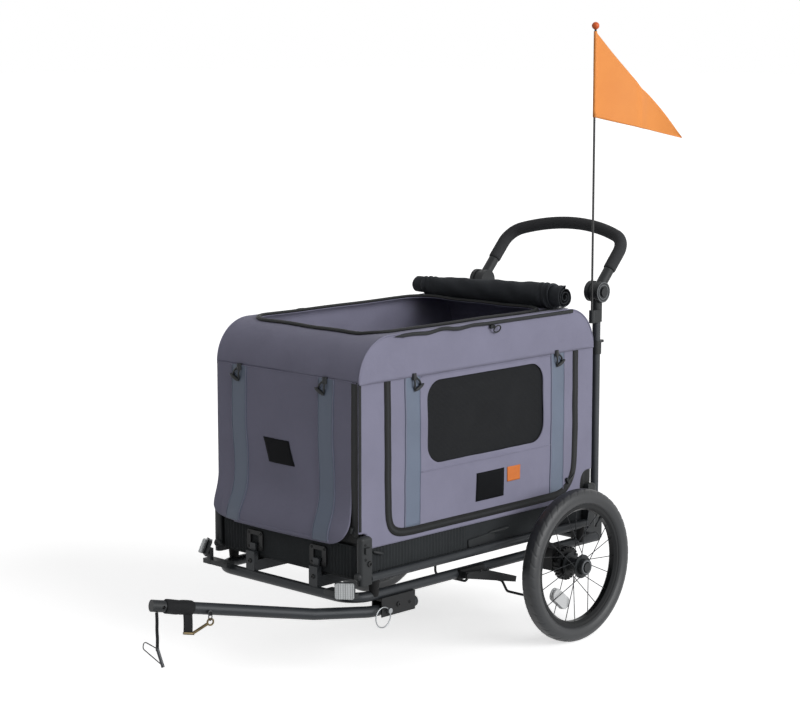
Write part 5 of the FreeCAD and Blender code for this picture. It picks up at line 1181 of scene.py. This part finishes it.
class TRAILER_OT_flag(bpy.types.Operator):
    """Fly the safety flag from its pole"""
    bl_idname = "trailer.flag"
    bl_label = "Flag"

    def execute(self, context):
        # The cloth is a triangle in shares along and down, with two sine waves and one crease
        hoist, fly, sleeve_radius = 0.224, 0.340, 0.0042
        low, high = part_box("flag")
        pole_low, pole_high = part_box("flag_pole")
        pole = np.array([(pole_low.x + pole_high.x) / 2, (pole_low.y + pole_high.y) / 2])
        turn = np.radians(6.5)
        ahead = np.array([-np.cos(turn), np.sin(turn)])
        beside = np.array([-np.sin(turn), -np.cos(turn)])
        along, down = np.meshgrid(np.linspace(0, 1, 70) ** 0.95, np.linspace(0, 1, 34), indexing="ij")
        top = high.z + (low.z + 0.0015 - high.z) * along
        bottom = high.z - hoist + (low.z - high.z + hoist) * along
        z = top + (bottom - top) * down
        wave = 0.006 * np.sin(2 * np.pi * (1.1 * along + 0.25 * down)) * np.sqrt(along)
        wave += 0.003 * np.sin(2 * np.pi * (2.3 * along - 0.5 * down)) * along * (1 - along)
        crease = 0.004 * np.exp(-(((along - 0.52) / 0.035) ** 2))
        plane = pole + ahead * (fly * along)[..., None] + beside * (wave + crease)[..., None]
        uv = np.stack([along * fly, down * hoist], -1)
        parts = [grid(np.concatenate([plane, z[..., None]], -1), uv)]
        ring = np.linspace(0, 2 * np.pi, 17)
        height = np.linspace(high.z - hoist, high.z, 12)
        sleeve = np.stack(np.broadcast_arrays(pole[0] + sleeve_radius * np.cos(ring)[None],
                                              pole[1] + sleeve_radius * np.sin(ring)[None],
                                              height[:, None]), -1)
        parts.append(grid(sleeve))
        made = piece("pennant", parts, ["flag"], stands_for=["flag"], wall=0.0008)
        return {"FINISHED"}


class TRAILER_OT_wheels(bpy.types.Operator):
    """Fit treaded tyres, valves, wheel reflectors and hub rings"""
    bl_idname = "trailer.wheels"
    bl_label = "Wheels"

    def execute(self, context):
        radius, offset, around, uv = self.tread(context.scene.trailer_trim.tread_depth)
        for side, name in NAMED_SIDES:
            points = at(radius * np.cos(around), side * WHEEL_Y + side * offset + 0 * around,
                        AXLE_Z + radius * np.sin(around))
            piece(name + "_treaded_tyre", [grid(points, uv, (True, True))], ["tyre"],
                  body=name + "_wheel", stands_for=[name + "_tyre"], closed=True,
                  sharp=50.0)
            self.details(side, name)
        return {"FINISHED"}

    @staticmethod
    def tread(depth):
        """A tyre's radii and sideways offsets about the axle, with grooves cut into its tread.

        The section is powers of a sine and a cosine. Slanted grooves repeat 44 times round, offset
        between the two halves, two rounded lines run round the tread, and low beads ring the walls.
        """
        rounds, points_across = 720, 44
        around = np.linspace(0, 2 * np.pi, rounds, endpoint=False)[:, None]
        section = np.linspace(0, 2 * np.pi, points_across, endpoint=False)[None]
        seat = (span("left_rim", 2)[1] - span("left_rim", 2)[0]) / 2 - 0.004
        middle, rise = (TYRE_RADIUS + seat) / 2, (TYRE_RADIUS - seat) / 2
        sine, cosine = np.sin(section), np.cos(section)
        out, across = np.sign(sine) * np.abs(sine) ** 0.9, np.sign(cosine) * np.abs(cosine) ** 0.72
        aside = np.abs(across)
        tread = np.clip((out - 0.25) / 0.25, 0, 1)
        slant = np.cos(44 * around + 6.5 * aside + np.where(across > 0, 0, np.pi))
        groove = np.clip((slant - 0.84) / 0.1, 0, 1) * np.clip((aside - 0.22) / 0.08, 0, 1)
        groove = groove * np.clip((0.93 - aside) / 0.1, 0, 1)
        line = np.clip(1 - (np.abs(aside - 0.24) / 0.06) ** 2, 0, 1)
        cut = depth * tread * np.maximum(groove, line)
        bead = 0.0006 * np.clip(np.cos(9 * section), 0, 1) * (1 - tread)
        radius = middle + rise * out - cut * np.maximum(out, 0)
        offset = TYRE_HALF * across + (bead - cut * 0.4 * tread) * np.sign(across)
        uv_rows = np.arange(rounds + 1)[:, None] / rounds * 2 * np.pi * middle
        uv_columns = np.arange(points_across + 1)[None] / points_across * 0.12
        return radius, offset, around, np.stack(np.broadcast_arrays(uv_rows, uv_columns), -1)

    @staticmethod
    def details(side, name):
        """One wheel's valve and hub ring, both turned profiles, and its reflector, two blocks."""
        wheel, out = name + "_wheel", np.array([0, side, 0])
        hub = at(0, side * WHEEL_Y, AXLE_Z)
        toward, bed = np.array([-0.662, 0, 0.749]), 0.1465
        stem = [(0, 0), (0.0042, 0), (0.0042, 0.004), (0.0028, 0.006), (0.0028, 0.018),
                (0.0036, 0.0185), (0.0036, 0.028), (0.0022, 0.030), (0, 0.030)]
        parts = [turned(stem, hub + toward * bed, -toward, 14)]
        piece(name + "_valve", parts, ["plastic"], body=wheel, closed=True)
        radial, tangent = np.array([0.628, 0, -0.778]), np.array([0.778, 0, 0.628])
        axes = (tangent, radial, out)
        centre = hub + radial * 0.1 - out * 0.0045
        parts = [block(centre, axes, (0.072, 0.034, 0.009), 0.014, 0.002),
                 block(centre - out * 0.004, axes, (0.074, 0.036, 0.004), 0.015, 0.001)]
        piece(name + "_wheel_reflector", parts, ["spoke_lens"], body=wheel, closed=True)
        ring = [(0.0145, -0.001), (0.0145, 0.0012), (0.0152, 0.0018), (0.0178, 0.0018),
                (0.0188, 0.0008), (0.0188, -0.001)]
        parts = [turned(ring + ring[:1], at(0, side * HUB_OUT, AXLE_Z), out, 40)]
        piece(name + "_hub_ring", parts, ["grey_plastic"], body=wheel, closed=True)


class TRAILER_OT_handle(bpy.types.Operator):
    """Slide the foam grip over the handle"""
    bl_idname = "trailer.handle"
    bl_label = "Handle grip"

    def execute(self, context):
        # A circle carried along two straight arms, two round corners and a bowed bar between them
        tilt, turn = np.radians(47.5), np.radians(69)
        half, reach, start = 0.206, 0.219, 0.074
        ahead, left = np.array([-np.cos(tilt), 0, np.sin(tilt)]), np.array([0, 1.0, 0])
        corner = 0.41 * (reach - start)
        corner_y = half - corner * (1 - np.cos(turn))
        bow = corner_y / np.cos(turn)
        corner_end = reach - bow * (1 - np.sin(turn))
        arm_end = corner_end - corner * np.sin(turn)
        bend = np.linspace(0, turn, 18)
        arm = np.linspace(start, arm_end, 8)[:-1]
        rounded = np.stack([half - corner * (1 - np.cos(bend)), arm_end + corner * np.sin(bend)], -1)
        first = np.concatenate([np.stack([np.full(7, half), arm], -1), rounded])
        swing = np.linspace(np.pi / 2 - turn, turn - np.pi / 2, 26)[1:-1]
        bar = np.stack([bow * np.sin(swing), reach - bow * (1 - np.cos(swing))], -1)
        path = np.concatenate([first, bar, first[::-1] * [-1, 1]])
        line = at(*HANDLE_HINGE) + ahead * path[:, 1:] + left * path[:, :1]
        line = np.concatenate([line[:1], line[:1], line, line[-1:], line[-1:]])
        radii = np.full(len(line), 0.0170)
        # Each end of the sleeve is rounded over three stations
        for station, shift, radius in ((0, -0.0004, 0.0140), (1, 0.0012, 0.0162), (2, 0.004, 0.0170)):
            line[[station, -1 - station]] += ahead * shift
            radii[[station, -1 - station]] = radius
        part = tube(line, radii, np.cross(ahead, left), 28)
        made = piece("foam_sleeve", [part], ["foam"], body="handle",
                     stands_for=["foam_grip"], closed=True, sharp=70.0)
        return {"FINISHED"}


class TRAILER_OT_drawbar_strap(bpy.types.Operator):
    """Wrap the safety strap round the drawbar and hang its tail"""
    bl_idname = "trailer.drawbar_strap"
    bl_label = "Drawbar strap"

    def execute(self, context):
        # The wrap is circles along the bar with a fold over each other, and the tail a bowed strip
        tip, bend = np.array([1.195, 0.095, 0.275]), np.array([0.788, 0.203, 0.195])
        head, lead, length, setback = 0.046, 0.012, 0.071, 0.043
        upright = np.array([0, 0, 1.0])
        along = (tip - bend) / np.linalg.norm(tip - bend)
        across = -np.cross(along, upright)
        across /= np.linalg.norm(across)
        up = np.cross(across, along)
        up *= np.sign(up[2])
        end = at(*(tip - along * head))
        share, around = np.linspace(0, 1, 26)[:, None], 48
        turn = np.linspace(0, 2 * np.pi, around, endpoint=False)
        lip = np.minimum(share, 1 - share)
        radius = 0.0147 + 0.0016 * np.clip(lip / 0.03, 0, 1) + 0.0004 * np.cos(3 * turn + 9 * share)
        radius = radius + 0.0016 * np.exp(-(((turn - 4.1) / 0.5) ** 2))
        radius = radius - 0.0008 * np.exp(-(((share - 0.5) / 0.03) ** 2))
        ring = up * np.cos(turn)[:, None] + across * np.sin(turn)[:, None]
        start = end + along * lead
        points = start - along * (length * share)[..., None] + ring[None] * radius[..., None]
        uv_round = np.arange(around + 1)[None] / around * 0.1
        uv = np.stack(np.broadcast_arrays(length * share, uv_round), -1)
        parts = [grid(points, uv, (False, True))]
        hang = end - along * setback - upright * 0.0151 + across * 0.0081
        drop = np.linspace(0.004, -0.0425, 16)
        wide = np.linspace(-0.0115, 0.0115, 7)
        bow = 0.0014 * np.sin(np.pi * (drop - drop[0]) / (drop[-1] - drop[0]))
        tail = hang + along * wide[None, :, None] + upright * drop[:, None, None]
        tail = tail + across * bow[:, None, None]
        parts.append(grid(tail, np.stack(np.meshgrid(drop, wide, indexing="ij"), -1)))
        made = piece("drawbar_webbing", parts, ["webbing"],
                     stands_for=["safety_strap"], wall=0.0016)
        return {"FINISHED"}


class TRAILER_OT_hardware(bpy.types.Operator):
    """Add screws, caps, plugs and bolts to the frame"""
    bl_idname = "trailer.hardware"
    bl_label = "Screws and caps"

    def execute(self, context):
        self.screws()
        self.plugs()
        self.joint_rings()
        return {"FINISHED"}

    @staticmethod
    def screws():
        """Domed heads with a socket: one profile, scaled by the radius, turned at each place."""
        dome = np.array([(0, 0), (1, 0), (1, 0.25), (0.86, 0.5), (0.5, 0.62), (0.42, 0.6),
                         (0.4, 0.3), (0, 0.3)])
        forward, back = (1, 0, 0), (-1, 0, 0)
        places = []
        for side in SIDES:
            out = (0, side, 0)
            places += [(0.6635, side * 0.2662, 0.306, out, 0.0075),
                       (0.676, side * 0.267, 0.318, out, 0.0035),
                       (0.6775, side * 0.267, 0.3545, out, 0.003),
                       (-0.177, side * 0.267, 0.306, out, 0.0075),
                       (-0.180, side * 0.267, 0.352, out, 0.003)]
            places += [(0.689, side * 0.114 + dy, 0.306 + dz, forward, 0.0032)
                       for dy in (-0.022, 0.022) for dz in (-0.018, 0.018)]
            places += [(0.705, side * 0.114, 0.256, forward, 0.006),
                       (-0.2767, side * 0.206, 0.815, back, 0.0035)]
        left = (0, 1, 0)
        places += [(0.563, 0.265, 0.188, left, 0.0065), (0.522, 0.265, 0.186, left, 0.0045)]
        low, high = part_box("leg_bracket")
        places += [(low.x + share * (high.x - low.x) - AXLE_X, high.y, low.z + 0.7 * (high.z - low.z),
                    left, 0.004) for share in (0.12, 0.38)]
        parts = [turned(dome * radius, at(x, y, z), axis, 18) for x, y, z, axis, radius in places]
        piece("screws", parts, ["black_metal"], closed=True)

    @staticmethod
    def plugs():
        """Turned plugs in the tubes' ends and posts, and the base's side tabs with two loops each.

        A loop is a circle along a line that bows out by half a sine and is thinner at its ends.
        """
        cap = np.array([(0, 0.004), (0.008, 0.004), (0.0125, 0.001), (0.0132, -0.002),
                        (0.0132, -0.006), (0, -0.006)])
        knob, wide_cap = cap * [0.82, 1.3], cap * [14.4 / 13.2, 1.0]
        t = np.linspace(0, 1, 9)
        loop_radii = 0.0042 * np.sqrt(np.clip(1.06 - (2 * t - 1) ** 2, 0.1, 1))
        parts = []
        for side in SIDES:
            parts.append(turned(cap, at(-0.222, side * 0.248, 0.220), (-1, 0, 0), 28))
            parts.append(turned(knob, at(0.691, side * 0.2535, 0.276), (1, 0, 0), 28))
            parts.append(block(at(0.2405, side * 0.2425, 0.290),
                               ((-1, 0, 0.06), (0.06, 0, 1), (0, side, 0)), (0.100, 0.021, 0.0052),
                               0.003, 0.001))
            for (x0, z0), (x1, z1) in (((0.213, 0.303), (0.137, 0.306)),
                                       ((0.632, 0.3275), (0.596, 0.3165))):
                line = at(x0 + (x1 - x0) * t, side * (0.2478 + 0.003 * np.sin(np.pi * t)),
                          z0 + (z1 - z0) * t)
                parts.append(tube(line, loop_radii, (0, 1, 0), 10))
        parts.append(turned(wide_cap, at(0.490, 0.248, 0.180), (-1, 0, 0), 28))
        piece("tube_plugs", parts, ["plastic"], closed=True)

    @staticmethod
    def joint_rings():
        """Two raised rings round each joint's button: one rounded section turned at two radii."""
        section = np.array([(-0.0016, -0.0006), (-0.0016, 0.0006), (-0.0008, 0.0012), (0.0008, 0.0012),
                            (0.0016, 0.0006), (0.0016, -0.0006), (-0.0016, -0.0006)])
        face = span("joint_knuckles", 1)[1]
        parts = []
        for side in SIDES:
            centre = at(*HANDLE_HINGE) + [0, side * face, 0]
            parts += [turned(section + [radius, 0], centre, (0, side, 0), 44)
                      for radius in (0.0255, 0.0190)]
        piece("joint_rings", parts, ["grey_plastic"], body="handle", closed=True)


class TRAILER_OT_reflector_backs(bpy.types.Operator):
    """Put the thin backs, stems and arms behind the two front lenses"""
    bl_idname = "trailer.reflector_backs"
    bl_label = "Reflector backs"

    def execute(self, context):
        # Three rounded blocks a side: a plate turned and pitched with its lens, a stem and an arm
        parts = []
        plain = ((1, 0, 0), (0, 1, 0), (0, 0, 1))
        for side, turn, pitch, lift in ((1, 38, 0, 0.0), (-1, -30, 22, 0.019)):
            turn, pitch = np.radians((turn, pitch))
            wide = np.array([-np.sin(turn), np.cos(turn), 0])
            out = np.array([np.cos(pitch) * np.cos(turn), np.cos(pitch) * np.sin(turn), np.sin(pitch)])
            pivot = at(0.722, side * 0.244, 0.250 + lift)
            parts.append(block(pivot + out * 0.0075, (wide, np.cross(out, wide), out),
                               (0.050, 0.042, 0.0045), 0.006, 0.001))
            parts.append(block(at(0.7235, side * 0.244, 0.229), plain, (0.013, 0.013, 0.022 + lift),
                               0.002, 0.001))
            parts.append(block(at(0.7145, side * 0.2215, 0.229), plain, (0.029, 0.091, 0.012),
                               0.002, 0.001))
        piece("reflector_backs", parts, ["plastic"],
              stands_for=["reflector_housings"], closed=True)
        return {"FINISHED"}


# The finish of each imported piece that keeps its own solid
CAD_FINISHES = {
    "tube": ["chassis_tubes", "carrier_frame", "drawbar_tube", "front_hoop", "handle_tube",
             "docking_brackets"],
    "upright": ["uprights"],
    "black_metal": ["drawbar_bracket", "front_clips", "leg_bracket", "brake_bar", "axle_carriers",
                    "parking_leg", "left_brake_ring", "right_brake_ring", "brake_clamps"],
    "plastic": ["corner_posts", "upright_sleeves", "upright_feet", "joint_knuckles",
                "hitch_head", "left_post_button", "right_post_button", "left_hub",
                "right_hub", "left_release_button", "right_release_button", "left_joint_button",
                "right_joint_button"],
    "base": ["base_tray"],
    "buffer": ["buffer_cones"],
    "rim": ["left_rim", "right_rim"],
    "spoke": ["left_spokes", "right_spokes"],
    "steel": ["axle_shafts", "left_bearings", "right_bearings", "lock_pin"],
    "dark_steel": ["hitch_pin", "drawbar_ring"],
    "brass": ["snap_hook"],
    "lens": ["reflector_lenses"],
    "pole": ["flag_pole"],
    "orange": ["flag_ball"],
}


class TRAILER_OT_frame_finishes(bpy.types.Operator):
    """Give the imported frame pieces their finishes"""
    bl_idname = "trailer.frame_finishes"
    bl_label = "Frame finishes"

    def execute(self, context):
        for finish, names in CAD_FINISHES.items():
            for name in names:
                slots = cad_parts[name].material_slots
                if not slots:
                    raise RuntimeError(name + " has no material slot")
                for slot in slots:
                    slot.material = FINISHES[finish]
        return {"FINISHED"}


STEPS = ("stage", "lanyard", "cabin_cloth", "cabin_mesh", "cabin_trim", "base", "flag", "wheels",
         "handle", "drawbar_strap", "hardware", "reflector_backs", "frame_finishes")


class TRAILER_PT_panel(bpy.types.Panel):
    """Trailer pieces and settings"""
    bl_idname = "TRAILER_PT_panel"
    bl_label = "Dog bike trailer"
    bl_space_type = "VIEW_3D"
    bl_region_type = "UI"
    bl_category = "Trailer"

    def draw(self, context):
        scene = context.scene
        for group in (scene.trailer_colours, scene.trailer_trim, scene.trailer_stage):
            for name in group.__annotations__:
                self.layout.prop(group, name)
        for step in STEPS:
            self.layout.operator("trailer." + step)


CLASSES = (TrailerColours, TrailerTrim, TrailerStage, TRAILER_OT_stage, TRAILER_OT_lanyard,
           TRAILER_OT_cabin_cloth, TRAILER_OT_cabin_mesh, TRAILER_OT_cabin_trim, TRAILER_OT_base,
           TRAILER_OT_flag, TRAILER_OT_wheels, TRAILER_OT_handle, TRAILER_OT_drawbar_strap,
           TRAILER_OT_hardware, TRAILER_OT_reflector_backs, TRAILER_OT_frame_finishes,
           TRAILER_PT_panel)


def register():
    """Add the classes and hang the three settings groups on the scene."""
    for cls in CLASSES:
        bpy.utils.register_class(cls)
    bpy.types.Scene.trailer_colours = PointerProperty(type=TrailerColours)
    bpy.types.Scene.trailer_trim = PointerProperty(type=TrailerTrim)
    bpy.types.Scene.trailer_stage = PointerProperty(type=TrailerStage)


def unregister():
    """Take away what register added, in reverse."""
    del bpy.types.Scene.trailer_colours
    del bpy.types.Scene.trailer_trim
    del bpy.types.Scene.trailer_stage
    for cls in reversed(CLASSES):
        bpy.utils.unregister_class(cls)


def main():
    register()
    make_finishes(bpy.context.scene.trailer_colours)
    for step in STEPS:
        getattr(bpy.ops.trailer, step)()


if __name__ == "__main__":
    main()
